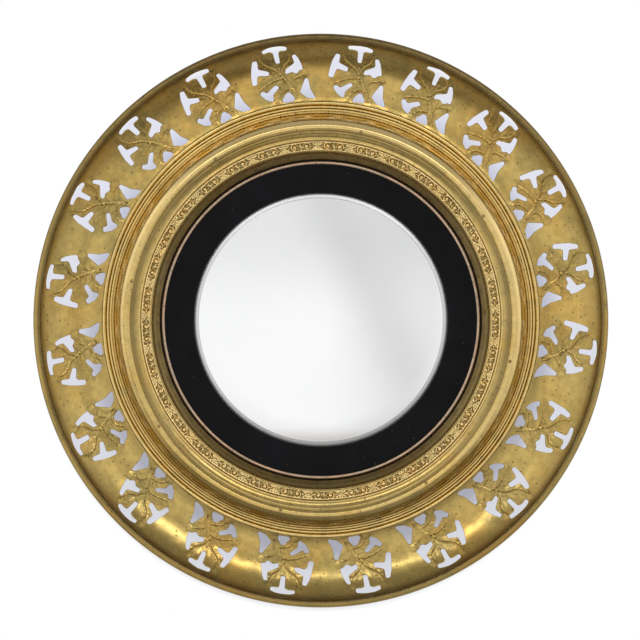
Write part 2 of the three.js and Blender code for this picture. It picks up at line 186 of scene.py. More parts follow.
def brass(
    name, base, warm, olive, smooth_rough, dull_rough, spin, patch=15.0,
    dark=(0.045, 0.026, 0.009), relief=0.00006,
):
    """Old lacquered brass: warm and olive patches, marks round the axis, grit, pits and patina.

    An attribute from the mesh darkens it where positive, as patina and painted shade, and lightens it
    where negative, as wear and painted highlights.
    """
    material, s, shader, coords = new_material(
        name, **{"Metallic": 1.0, "Coat Weight": 0.3, "Coat Roughness": 0.16}
    )
    patches = s.noise(coords, patch, 5.0, 0.6)
    patches_two = s.noise(s.shifted(coords, 0.31, 0.17, 0.53), patch * 2.1, 5.0, 0.65)
    mottle = s.noise(s.shifted(coords, 0.7, 0.1, 0.2), 150.0, 5.0, 0.6)
    grit = s.noise(coords, 1100.0, 2.0, 0.6)
    marks = s.noise(s.turned(coords, 900.0, 5.0), 1.0, 3.0, 0.6)
    pits = s.specks(coords, 260.0, (0.28, 0.12), (0.78, 0.82))
    tarnish_and_painted_light = s.node("ShaderNodeAttribute", attribute_name="tarnish_and_painted_light").outputs["Fac"]

    colour = s.mix(s.smooth(patches, 0.42, 0.66), base, warm)
    colour = s.mix(s.smooth(patches_two, 0.48, 0.68, 0.0, 0.85), colour, olive)
    light = s.times(
        s.smooth(mottle, 0.3, 0.7, 0.86, 1.12),
        s.smooth(marks, 0.25, 0.75, 1.0 - 0.22 * spin, 1.0 + 0.16 * spin),
    )
    grey = s.node("ShaderNodeCombineColor", {0: light, 1: light, 2: light}).outputs[0]
    colour = s.mix(1.0, colour, grey, "MULTIPLY")
    colour = s.mix(s.times(pits, 0.75), colour, dark)
    # Darkened where the mesh's attribute is positive: patina, and painted shade.
    stain_and_shade = s.times(tarnish_and_painted_light, s.smooth(mottle, 0.2, 0.8, 0.72, 1.0), clamp=True)
    colour = s.mix(stain_and_shade, colour, dark)
    # Lightened towards a paler brass where the attribute is negative: wear, and painted highlights.
    wear_and_highlight = s.times(tarnish_and_painted_light, -1.0, clamp=True)
    colour = s.mix(wear_and_highlight, colour, tuple(min(1.0, 1.35 * part + 0.11) for part in base))

    rough = s.smooth(patches_two, 0.3, 0.75, smooth_rough, dull_rough)
    rough = s.plus(rough, s.times(stain_and_shade, 0.2))
    rough = s.plus(rough, s.smooth(grit, 0.3, 0.7, -0.04, 0.06), clamp=True)

    height = s.plus(s.times(marks, 0.3 * spin), s.times(mottle, 0.5))
    height = s.plus(height, s.times(grit, 0.12))
    height = s.minus(height, s.times(pits, 0.7))
    dress(s, shader, colour, rough, height, relief)
    return material


def wood(name, light, dark, across=70.0):
    """Bare board, with its grain along x."""
    material, s, shader, coords = new_material(name)
    sway = s.times(s.noise(s.stretched(coords, 3.0, 9.0, 9.0), 1.0, 2.0), 5.0)
    warped = s.vector_math(
        "ADD", s.stretched(coords, 4.0, across, across),
        s.node("ShaderNodeCombineXYZ", {"Z": sway}).outputs[0],
    ).outputs[0]
    rings = s.noise(warped, 1.0, 3.0, 0.55)
    fibres = s.noise(s.stretched(coords, 25.0, 1500.0, 1500.0), 1.0, 3.0, 0.6)
    stain = s.noise(coords, 18.0, 4.0, 0.6)
    colour = s.mix(s.smooth(rings, 0.38, 0.62), light, dark)
    colour = s.mix(s.smooth(fibres, 0.45, 0.7, 0.0, 0.5), colour, dark)
    colour = s.mix(s.smooth(stain, 0.5, 0.75, 0.0, 0.55), colour, tuple(0.45 * c for c in dark))
    rough = s.smooth(fibres, 0.3, 0.7, 0.62, 0.82)
    dress(s, shader, colour, rough, s.plus(fibres, s.times(rings, 0.8)), 0.00025)
    return material


def ebony_material():
    """Ebonised wood, dyed black, worn smooth and a little dusty."""
    material, s, shader, coords = new_material("ebonised_wood", **{"Specular IOR Level": 0.08})
    cloud = s.noise(coords, 26.0, 4.0, 0.6)
    grain = s.noise(s.stretched(coords, 60.0, 900.0, 900.0), 1.0, 3.0, 0.6)
    dust = s.specks(coords, 190.0, (0.16, 0.06), (0.86, 0.9))
    colour = s.mix(s.smooth(cloud, 0.35, 0.7), (0.0035, 0.0035, 0.004), (0.006, 0.006, 0.0075))
    colour = s.mix(s.times(dust, 0.5), colour, (0.09, 0.085, 0.08))
    height = s.plus(s.times(grain, 0.3), s.times(cloud, 1.5))
    dress(s, shader, colour, s.smooth(cloud, 0.3, 0.7, 0.36, 0.46), height, 0.00012)
    return material


def glass_material():
    """Silvered glass: clear in the middle, a duller ground bevel, and a thin dark line of painted shade
    along the crease between them.

    The radii here are in metres, and lie round BEVEL_EDGE.
    """
    material, s, shader, coords = new_material("silvered_glass", Metallic=1.0)
    radius, _ = s.polar(coords)
    bevel = s.smooth(radius, 0.1175, 0.1178)
    line = s.times(s.smooth(radius, 0.1168, 0.1173), s.smooth(radius, 0.1182, 0.1177))
    haze = s.noise(coords, 9.0, 4.0, 0.6)
    clear = s.mix(s.smooth(haze, 0.3, 0.7), (0.93, 0.935, 0.94), (0.955, 0.958, 0.96))
    colour = s.mix(bevel, clear, (0.74, 0.74, 0.735))
    # The thin line is painted shade along the crease between face and bevel.
    colour = s.mix(s.times(line, 0.55), colour, (0.3, 0.3, 0.3))
    dress(s, shader, colour, s.smooth(bevel, 0.0, 1.0, 0.035, 0.42))
    return material


def felt_material():
    material, s, shader, coords = new_material("packing_felt")
    fluff = s.noise(coords, 900.0, 4.0, 0.7)
    colour = s.mix(s.smooth(fluff, 0.3, 0.7), (0.07, 0.095, 0.065), (0.13, 0.16, 0.115))
    dress(s, shader, colour, s.smooth(fluff, 0.3, 0.7, 0.88, 1.0), fluff, 0.0004)
    return material


def iron_material():
    material, s, shader, coords = new_material("iron", Metallic=1.0)
    rust = s.noise(coords, 320.0, 5.0, 0.65)
    colour = s.mix(s.smooth(rust, 0.45, 0.68), (0.2, 0.19, 0.18), (0.13, 0.075, 0.045))
    dress(s, shader, colour, s.smooth(rust, 0.35, 0.7, 0.45, 0.75), rust, 0.00015)
    return material


DISH_BRASS = brass(
    "dish_brass", (0.54, 0.385, 0.115), (0.58, 0.365, 0.09), (0.4, 0.305, 0.095),
    smooth_rough=0.16, dull_rough=0.27, spin=0.3,
)
MOULDING_BRASS = brass(
    "moulding_brass", (0.62, 0.445, 0.15), (0.6, 0.4, 0.11), (0.48, 0.36, 0.125),
    smooth_rough=0.16, dull_rough=0.24, spin=0.3, patch=22.0, relief=0.000025,
)
SCROLL_BRASS = brass(
    "scroll_brass", (0.66, 0.48, 0.19), (0.64, 0.43, 0.14), (0.52, 0.4, 0.15),
    smooth_rough=0.2, dull_rough=0.3, spin=0.1, patch=30.0,
)
PIN_BRASS = brass(
    "pin_brass", (0.36, 0.25, 0.09), (0.3, 0.18, 0.06), (0.22, 0.17, 0.08),
    smooth_rough=0.4, dull_rough=0.55, spin=0.0, patch=300.0,
)
SLIP_COPPER = brass(
    "slip_copper", (0.5, 0.37, 0.26), (0.52, 0.34, 0.22), (0.42, 0.33, 0.22),
    smooth_rough=0.28, dull_rough=0.42, spin=0.4, patch=30.0, dark=(0.12, 0.075, 0.045),
)
HANGER_BRASS = brass(
    "hanger_brass", (0.46, 0.33, 0.13), (0.4, 0.26, 0.09), (0.3, 0.24, 0.12),
    smooth_rough=0.3, dull_rough=0.5, spin=0.0, patch=120.0,
)
EBONY = ebony_material()
SILVER = glass_material()
FELT = felt_material()
IRON = iron_material()
PINE = wood("carcass_pine", (0.42, 0.27, 0.135), (0.26, 0.145, 0.062))
BOARD = wood("back_board", (0.3, 0.195, 0.105), (0.17, 0.1, 0.048), across=45.0)


# ---- Meshes ---------------------------------------------------------------------------------------
def place(radius, forward, angle):
    """Points in metres from radius and forward in millimetres and an angle in radians."""
    radius, forward, angle = np.broadcast_arrays(radius, forward, angle)
    return np.stack([radius * np.sin(angle), -forward, radius * np.cos(angle)], axis=-1) * MM


def around_axis(radius, angle):
    """The (x, z) place at a radius and at an angle in radians."""
    return radius * math.sin(angle), radius * math.cos(angle)


def ramp(values, zero_at, one_at):
    """Shares that run straight from 0 to 1 between two values, and are held beyond them."""
    return np.clip((values - zero_at) / (one_at - zero_at), 0, 1)


def peak(values, middle, reach):
    """One where a value is at the middle, and falling off to both sides within about the reach."""
    return np.exp(-(((values - middle) / reach) ** 2))


def piece(name, points, faces, material, node, body=FIXED, sharp=None, tarnish_and_painted_light=None):
    """Makes one piece of the scene that stands for a CAD node."""
    mesh = bpy.data.meshes.new(name)
    mesh.from_pydata(np.asarray(points, float).reshape(-1, 3).tolist(), [], faces)
    mesh.validate()
    mesh.polygons.foreach_set("use_smooth", np.ones(len(mesh.polygons), bool))
    if sharp is not None:
        mesh.set_sharp_from_angle(angle=math.radians(sharp))
    if tarnish_and_painted_light is not None:
        layer = mesh.attributes.new("tarnish_and_painted_light", "FLOAT", "POINT")
        layer.data.foreach_set("value", np.asarray(tarnish_and_painted_light, np.float32).ravel())
    mesh.materials.append(material)
    made = bpy.data.objects.new(name, mesh)
    bpy.context.scene.collection.objects.link(made)
    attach(made, body)
    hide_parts(node)
    return made


def arc(centre, size, start, end, steps):
    """Points along an arc, with angles in degrees from outwards to forwards."""
    angles = np.radians(np.linspace(start, end, steps + 1))
    return [(centre[0] + size * math.cos(a), centre[1] + size * math.sin(a)) for a in angles]


def bend(start, control, end, steps):
    """Points along a curve from start to end that leans towards control."""
    shares = np.linspace(0.0, 1.0, steps + 1)[:, None]
    start, control, end = (np.array(p, float) for p in (start, control, end))
    curve = (1 - shares) ** 2 * start + 2 * shares * (1 - shares) * control + shares**2 * end
    return [tuple(p) for p in curve]


def grid_faces(rows, columns, close_rows, close_columns):
    """Quads over a grid of points that is stored row by row."""
    i = np.arange(rows if close_rows else rows - 1)
    j = np.arange(columns if close_columns else columns - 1)
    i, j = (a.ravel() for a in np.meshgrid(i, j, indexing="ij"))
    i_next, j_next = (i + 1) % rows, (j + 1) % columns
    quads = [i * columns + j, i_next * columns + j, i_next * columns + j_next, i * columns + j_next]
    return np.stack(quads, axis=1).tolist()


def capped_faces(rows, segments):
    """Faces over a turned grid of points and from its first and last rows to the two poles after it."""
    pole, last = rows * segments, (rows - 1) * segments
    faces = [face[::-1] for face in grid_faces(rows, segments, False, True)]
    faces += [[pole, (j + 1) % segments, j] for j in range(segments)]
    faces += [[pole + 1, last + j, last + (j + 1) % segments] for j in range(segments)]
    return faces


def outward(section):
    """The closed section, running so that the quads of a turned grid face outwards."""
    points = np.array(section)
    after = np.roll(points, -1, axis=0)
    area = (points[:, 0] * after[:, 1] - after[:, 0] * points[:, 1]).sum()
    return section if area > 0 else section[::-1]


def turned(name, section, material, node, segments, sharp=35, stains_and_light=None, wobble=None):
    """A closed section turned round the mirror's axis."""
    section = np.array(outward(section))
    angles = np.linspace(0.0, 2 * math.pi, segments, endpoint=False)
    radius, angle = np.meshgrid(section[:, 0], angles, indexing="ij")
    forward = np.repeat(section[:, 1][:, None], segments, axis=1)
    tarnish_and_painted_light = stains_and_light(radius, angle) if stains_and_light is not None else None
    if wobble is not None:
        radius, forward = wobble(radius, forward, angle)
    faces = grid_faces(len(section), segments, True, True)
    return piece(
        name, place(radius, forward, angle), faces, material, node, sharp=sharp, tarnish_and_painted_light=tarnish_and_painted_light
    )


def waves(seed, count, shortest, longest):
    """A smooth random field over the plane, about one high, made of plane waves."""
    random = np.random.default_rng(seed)
    lengths = np.exp(random.uniform(math.log(shortest), math.log(longest), count))
    headings = random.uniform(0, 2 * math.pi, count)
    phases = random.uniform(0, 2 * math.pi, count)

    def field(x, z):
        total = np.zeros(np.broadcast(x, z).shape)
        for length, heading, phase in zip(lengths, headings, phases):
            k = 2 * math.pi / length
            total += np.sin(k * (x * math.cos(heading) + z * math.sin(heading)) + phase)
        return total / math.sqrt(count / 2)

    return field


# ---- Pierced dish ---------------------------------------------------------------------------------
FLANGE_INNER, FLANGE_OUTER, FLANGE_FORWARD = 199.5, 208.5, 17.3
TROUGH_RADIUS, TROUGH_FORWARD, TROUGH_CURVE = 225.0, 74.96, 59.96
ROLL_RADIUS, ROLL_FORWARD, ROLL_INNER = 271.4, 40.9, 2.4
ROLL_START, ROLL_TURN = -36.3, 298.0
SHEET = 1.2
SPRIG_ANGLES = np.radians([
    8.4, 25.4, 43.1, 60.7, 78.6, 96.8, 115.8, 133.7, 152.1, 170, 188.2, 206.4, 225, 243.1, 261.1,
    279.3, 297.5, 315.5, 333.4, 350.3,
])
FIELD_RADIUS = 240.0
FIELD_REACH = 29.5
FOOT_RADIUS = 209.0

# The flange is raised a little, and falls to the trough's curve over a narrow width inside LIP_OUTER.
LIP_INNER, LIP_OUTER, LIP_WIDTH, LIP_HEIGHT = 210.3, 213.6, 2.5, 0.26

# Dents of the spun sheet: their heights in millimetres, and the fields that they follow.
BIG_WAVE, SMALL_WAVE = 0.085, 0.022
big_waves = waves(3, 26, 19.0, 48.0)
small_waves = waves(4, 40, 7.0, 13.0)

# The sprig's six holes, as corners from the centre of its field: x along the rim and z outwards.
HOLES = [
    [(-12, 20.6), (-12.2, 24), (-6, 25.2), (0, 25.5), (6, 25), (11.8, 23.4), (11.4, 19.6), (6, 20.2),
     (3, 19.6), (2.8, 9), (-1.4, 9), (-2.2, 20), (-6, 20.9)],
    [(-22.6, 15.4), (-25, 8.5), (-26.2, 1), (-27, -7.6), (-22.4, -7.8), (-21.2, -2), (-19.8, 0.8),
     (-9.2, -0.8), (-9.4, 3.4), (-18.8, 7), (-18.4, 15.4)],
    [(15, 15), (18.6, 15), (20.6, 11), (22.6, 5), (23.4, -0.8), (20.4, -0.4), (16.6, -3.6), (12.4, -0.8),
     (6.0, -2.2), (6.8, 2.2), (16.4, 7.4)],
    [(-21.4, -16.6), (-18.4, -14), (-14.5, -16.8), (-5.4, -10.6), (-1.8, -12.6), (-9.2, -19),
     (-9.4, -26.2), (-16.4, -23)],
    [(6.6, -19.2), (3.2, -20.2), (-1.4, -26), (-0.2, -28.4), (10.8, -28.4), (10.4, -25)],
    [(23.9, -8.8), (26.6, -9.6), (27.2, -20), (31.2, -30.4), (22, -27.4), (16.2, -21.4)],
]

# The sprig's stem and its ribs, from their roots to their tips.
STEM = [(14.5, -29.5), (13.3, -26.7), (11.6, -21), (10, -16.7), (6.7, -10), (3.3, -5.8), (1, -2.5)]
RIBS = [
    [(3.3, -5.8), (0, -5.6), (-5.8, -6.3), (-11.7, -8.3), (-17.5, -11.3), (-22, -13.3)],
    [(1, -2.5), (-1.3, 2.5), (-5.8, 5.8), (-11.7, 9.2), (-15, 14), (-16, 19.5)],
    [(1, -2.5), (3.3, 0), (5, 5), (8.3, 7.5), (12.5, 10.8), (13.4, 17.5)],
    [(10.8, -14), (11.8, -9.5), (14, -7.3), (18, -6.2), (23.5, -4.6)],
    [(10, -17.5), (6, -17), (3.3, -17.5), (-0.5, -18.6), (-3.6, -21.5), (-5.8, -27.5)],
]
VEIN_START, VEIN_SPACING, VEIN_LENGTH = 3.4, 2.5, 6.2
VEIN_SLANT = math.radians(43)

# How high or deep the chasing is, in millimetres: each rib stands on a wide lobe, between two grooves.
LOBE_WIDTH, LOBE_HEIGHT, LOBE_EDGE = 6.6, 0.5, 0.14
RIB_HEIGHT, RIB_GROOVE, VEIN_GROOVE = 0.5, 0.2, 0.26
STEM_HEIGHT, STEM_GROOVE = 0.65, 0.3
FEATURE_SPACING = 1.05


def resampled(points, spacing, closed=False):
    """The polyline's points at an even spacing."""
    points = np.array(points, float)
    if closed:
        points = np.vstack([points, points[:1]])
    steps = np.linalg.norm(np.diff(points, axis=0), axis=1)
    reach = np.concatenate([[0.0], np.cumsum(steps)])
    count = max(2, round(reach[-1] / spacing))
    at = np.linspace(0.0, reach[-1], count + 1)
    even = np.stack([np.interp(at, reach, points[:, k]) for k in (0, 1)], axis=1)
    return even[:-1] if closed else even


def eased(points, rounds=2):
    """The open polyline with its corners cut."""
    points = np.array(points, float)
    for _ in range(rounds):
        near = 0.75 * points[:-1] + 0.25 * points[1:]
        far = 0.25 * points[:-1] + 0.75 * points[1:]
        middle = np.stack([near, far], axis=1).reshape(-1, 2)
        points = np.vstack([points[:1], middle, points[-1:]])
    return points


def rounded(corners, size=1.75):
    """The closed outline with an arc at each corner, as large as its edges leave room for."""
    corners = np.array(corners, float)
    outline = []
    for i, corner in enumerate(corners):
        to_last = corners[i - 1] - corner
        to_next = corners[(i + 1) % len(corners)] - corner
        last_length, next_length = np.linalg.norm(to_last), np.linalg.norm(to_next)
        to_last, to_next = to_last / last_length, to_next / next_length
        opening = math.acos(max(-1.0, min(1.0, float(to_last @ to_next))))
        reach = min(size / math.tan(opening / 2), 0.48 * last_length, 0.48 * next_length)
        outline += bend(corner + to_last * reach, corner, corner + to_next * reach, 5)
    return outline


def ring_area(points):
    after = np.roll(points, -1, axis=0)
    return 0.5 * float((points[:, 0] * after[:, 1] - after[:, 0] * points[:, 1]).sum())


def widened(points, by):
    """The closed outline, which runs anticlockwise, moved outwards."""
    along = np.roll(points, -1, axis=0) - np.roll(points, 1, axis=0)
    along /= np.linalg.norm(along, axis=1)[:, None]
    return points + by * np.stack([along[:, 1], -along[:, 0]], axis=1)


def distance_to(points, line):
    """Distance from each point to the polyline, and where along it the nearest place is."""
    starts, ends = line[:-1], line[1:]
    spans = ends - starts
    lengths = np.linalg.norm(spans, axis=1)
    reach = np.concatenate([[0.0], np.cumsum(lengths)])[:-1]
    offsets = points[:, None, :] - starts[None]
    share = np.clip((offsets * spans[None]).sum(2) / (lengths**2)[None], 0.0, 1.0)
    gaps = np.linalg.norm(offsets - share[..., None] * spans[None], axis=2)
    nearest = gaps.argmin(axis=1)
    rows = np.arange(len(points))
    along = reach[nearest] + share[rows, nearest] * lengths[nearest]
    return gaps[rows, nearest], along / lengths.sum()


def inside(points, outline):
    """Which points lie inside the closed outline."""
    x, z = points[:, 0][:, None], points[:, 1][:, None]
    x1, z1 = outline[:, 0][None], outline[:, 1][None]
    x2, z2 = (np.roll(outline[:, k], -1)[None] for k in (0, 1))
    level = z2 - z1
    crosses = (z1 > z) != (z2 > z)
    at = x1 + (z - z1) * (x2 - x1) / np.where(level == 0, 1e-12, level)
    return (crosses & (x < at)).sum(axis=1) % 2 == 1


ribs = [resampled(eased(rib), FEATURE_SPACING) for rib in RIBS]
stem = resampled(eased(STEM), FEATURE_SPACING)


def side_veins():
    """Short veins that leave each rib on both sides, at a slant towards its tip."""
    veins = []
    for rib in ribs:
        length = np.linalg.norm(np.diff(rib, axis=0), axis=1).sum()
        count = int((length - 4.0) / VEIN_SPACING)
        for i in range(count):
            share = (VEIN_START + i * VEIN_SPACING) / length
            k = min(len(rib) - 2, int(share * (len(rib) - 1)))
            along = rib[k + 1] - rib[k]
            along /= np.linalg.norm(along)
            for side in (-1, 1):
                turn = side * VEIN_SLANT
                lean = np.array([
                    along[0] * math.cos(turn) - along[1] * math.sin(turn),
                    along[0] * math.sin(turn) + along[1] * math.cos(turn),
                ])
                reach = VEIN_LENGTH * (0.75 + 0.35 * math.sin(math.pi * min(1.0, share)))
                steps = ((0.9, 0.0), (0.6 * reach, 0.25), (reach, 0.9))
                veins.append(np.array([rib[k] + lean * out + along * on for out, on in steps]))
    return veins


veins = side_veins()


def relief(points):
    """Height of the chased sprig over the sheet in millimetres, and its patina and painted light.

    That is positive in hollows, as patina, and negative on the ridges, as wear and painted highlights.
    """
    height, stain, ridge_wear_and_highlight, lobe = (np.zeros(len(points)) for _ in range(4))
    for rib in ribs:
        gap, share = distance_to(points, rib)
        width = LOBE_WIDTH * (0.45 + 0.55 * np.sin(math.pi * np.clip(0.12 + 0.78 * share, 0, 1)))
        lobe = np.maximum(lobe, LOBE_HEIGHT * np.clip(1 - (gap / width) ** 2, 0, None))
        edge = peak(gap, width, 0.8)
        height -= LOBE_EDGE * edge
        stain = np.maximum(stain, 0.4 * edge)
    height += lobe
    for vein in veins:
        gap, share = distance_to(points, vein)
        groove = peak(gap, 0.0, 0.5) * (1 - 0.4 * share)
        height -= VEIN_GROOVE * groove
        stain = np.maximum(stain, 0.5 * groove)
    for rib in ribs:
        gap, share = distance_to(points, rib)
        strength = 1.0 - 0.4 * share
        ridge = strength * peak(gap, 0.0, 0.55)
        height += RIB_HEIGHT * ridge
        ridge_wear_and_highlight = np.maximum(ridge_wear_and_highlight, ridge)
        groove = strength * peak(gap, 1.15, 0.42)
        height -= RIB_GROOVE * groove
        stain = np.maximum(stain, 0.45 * groove)
    gap, share = distance_to(points, stem)
    parted = 0.8 * np.clip(1.25 - 1.5 * share, 0, 1)
    ridge = peak(gap, parted, 0.5)
    height += STEM_HEIGHT * ridge
    ridge_wear_and_highlight = np.maximum(ridge_wear_and_highlight, ridge)
    groove = peak(gap, 1.9, 0.5)
    height -= STEM_GROOVE * groove
    stain = np.maximum(stain, 0.5 * groove)
    stain = np.maximum(stain, 0.5 * peak(gap, 0.0, 0.35) * (parted > 0.5))
    reach = np.linalg.norm(points, axis=1)
    fade = ramp(reach, 30.5, 27.5)
    foot = ramp(FIELD_RADIUS + points[:, 1], FOOT_RADIUS, FOOT_RADIUS + 2.5)
    # The ridges are lightened as wear and as a painted highlight; the hollows are darkened as patina.
    tarnish_and_painted_light = np.where(ridge_wear_and_highlight > 0.3, -ridge_wear_and_highlight, stain)
    return height * fade * foot, tarnish_and_painted_light * fade


def sheet_front(radius):
    """How far forward the sheet's front is at a radius, and its normal's two parts there."""
    lean = np.arcsin(np.clip((radius - TROUGH_RADIUS) / TROUGH_CURVE, -1, 1))
    forward = TROUGH_FORWARD - TROUGH_CURVE * np.cos(lean)
    flat = radius < FLANGE_OUTER
    rise = ramp(radius, LIP_OUTER, LIP_OUTER - LIP_WIDTH)
    forward = np.where(flat, FLANGE_FORWARD, forward) + LIP_HEIGHT * rise**2
    lean = lean - np.arctan(2 * LIP_HEIGHT / LIP_WIDTH * rise) * (radius > LIP_INNER)
    out = np.where(flat, 0.0, -np.sin(lean))
    ahead = np.where(flat, 1.0, np.cos(lean))
    return forward, out, ahead


def on_sheet(flat_points, lift, turn):
    """Places points of a sector's plan on the sheet, lifted along its normal, in metres."""
    radius = np.hypot(flat_points[:, 0], flat_points[:, 1])
    angle = np.arctan2(flat_points[:, 0], flat_points[:, 1]) + turn
    x, z = radius * np.sin(angle), radius * np.cos(angle)
    dented = ramp(radius, FOOT_RADIUS, FOOT_RADIUS + 8.0) * ramp(radius, 273.0, 267.0)
    lift = lift + dented * (BIG_WAVE * big_waves(x, z) + SMALL_WAVE * small_waves(x, z))
    forward, out, ahead = sheet_front(radius)
    return place(radius + lift * out, forward + lift * ahead, angle)


ROLL_EDGE = ROLL_RADIUS + ROLL_INNER * math.cos(math.radians(ROLL_START))
COLUMNS, SIDE_ROWS, OUTER_ROLL_ROWS, INNER_ROLL_ROWS = 18, 30, 22, 9
AFTER_SPRIG = 0.53  # share of the way to the next sprig at which its sector ends
SECTOR_REACH = 45.0
BORDER_GAP = 1.1
HOLE_SPACING, MOUTH_WIDENING, MOUTH_DEPTH = 1.12, 0.34, 0.3

# Spacings of the net's points: over a sprig, between sprigs, and on the back.
FINE, COARSE, BACK_COARSE = 1.62, 3.0, 4.2


def sector_border(first, last):
    """The sector's outline in plan, anticlockwise from its inner left corner."""
    columns = np.linspace(first, last, COLUMNS + 1)
    rows = np.linspace(FLANGE_INNER, ROLL_EDGE, SIDE_ROWS + 1)
    inner = [around_axis(FLANGE_INNER, a) for a in columns]
    right = [around_axis(r, last) for r in rows[1:]]
    outer = [around_axis(ROLL_EDGE, a) for a in columns[::-1][1:]]
    left = [around_axis(r, first) for r in rows[::-1][1:-1]]
    return np.array(inner + right + outer + left)


def scattered(random, spacing, keep):
    """Points on a loose triangular net over the sector, where keep allows them."""
    height = spacing * 0.866
    rows = np.arange(FLANGE_INNER + 1.0, ROLL_EDGE, height)
    points = []
    for k, row in enumerate(rows):
        across = np.arange(-SECTOR_REACH + (k % 2) * spacing / 2, SECTOR_REACH, spacing)
        points.append(np.stack([across, np.full_like(across, row)], axis=1))
    points = np.vstack(points)
    points = points + random.uniform(-0.12, 0.12, points.shape) * spacing
    return points[keep(points)]


def nearest_gap(points, others):
    """Distance from each point to the nearest of the others, worked out in blocks."""
    gaps = np.full(len(points), 1e9)
    for start in range(0, len(others), 400):
        block = others[start : start + 400]
        gaps = np.minimum(gaps, np.linalg.norm(points[:, None] - block[None], axis=2).min(axis=1))
    return gaps


def triangulated(points, loops):
    """Triangles over the points inside the first loop and outside the others."""
    edges = [(loop[i], loop[(i + 1) % len(loop)]) for loop in loops for i in range(len(loop))]
    found = delaunay_2d_cdt([Vector(p) for p in points.tolist()], edges, [], 0, 1e-6)
    back = [original[0] if original else -1 for original in found[3]]
    faces = np.array([[back[v] for v in face] for face in found[2]])
    faces = faces[(faces >= 0).all(axis=1)]
    middles = points[faces].mean(axis=1)
    corners = points[faces]
    one, two = corners[:, 1] - corners[:, 0], corners[:, 2] - corners[:, 0]
    keep = np.abs(one[:, 0] * two[:, 1] - one[:, 1] * two[:, 0]) > 0.02
    keep &= inside(middles, points[loops[0]])
    for loop in loops[1:]:
        keep &= ~inside(middles, points[loop])
    return faces[keep]


def dish_tarnish_and_shade(plan, chased, turn):
    """The patina and painted light of the dish's front, from that of its chasing and from where it lies.

    It is darker towards the rim and at the moulding's foot, with painted shade added near the rim at
    the top and outside the moulding's foot at the bottom.
    """
    radius = np.hypot(plan[:, 0], plan[:, 1])
    # Darker towards the rim all round.
    rim_darkening = 0.34 * ramp(radius, 248.0, 264.0) + 0.5 * ramp(radius, 264.0, 268.0)
    stain = np.where(chased < 0, chased + rim_darkening, np.maximum(chased, rim_darkening))
    stain = np.maximum(stain, 0.7 * ramp(radius, FOOT_RADIUS, FOOT_RADIUS - 1.5))
    # Painted shade of the moulding on the dish outside its foot, strongest at the bottom.
    lowness = 0.5 - 0.5 * np.cos(np.arctan2(plan[:, 0], plan[:, 1]) + turn)
    stain = stain + 0.38 * lowness * ramp(radius, 222.0, 214.0)
    # Painted shade near the rim, strongest at the top.
    return stain + 0.3 * np.clip(0.8 - 2 * lowness, 0, 1) * ramp(radius, 240.0, 256.0)


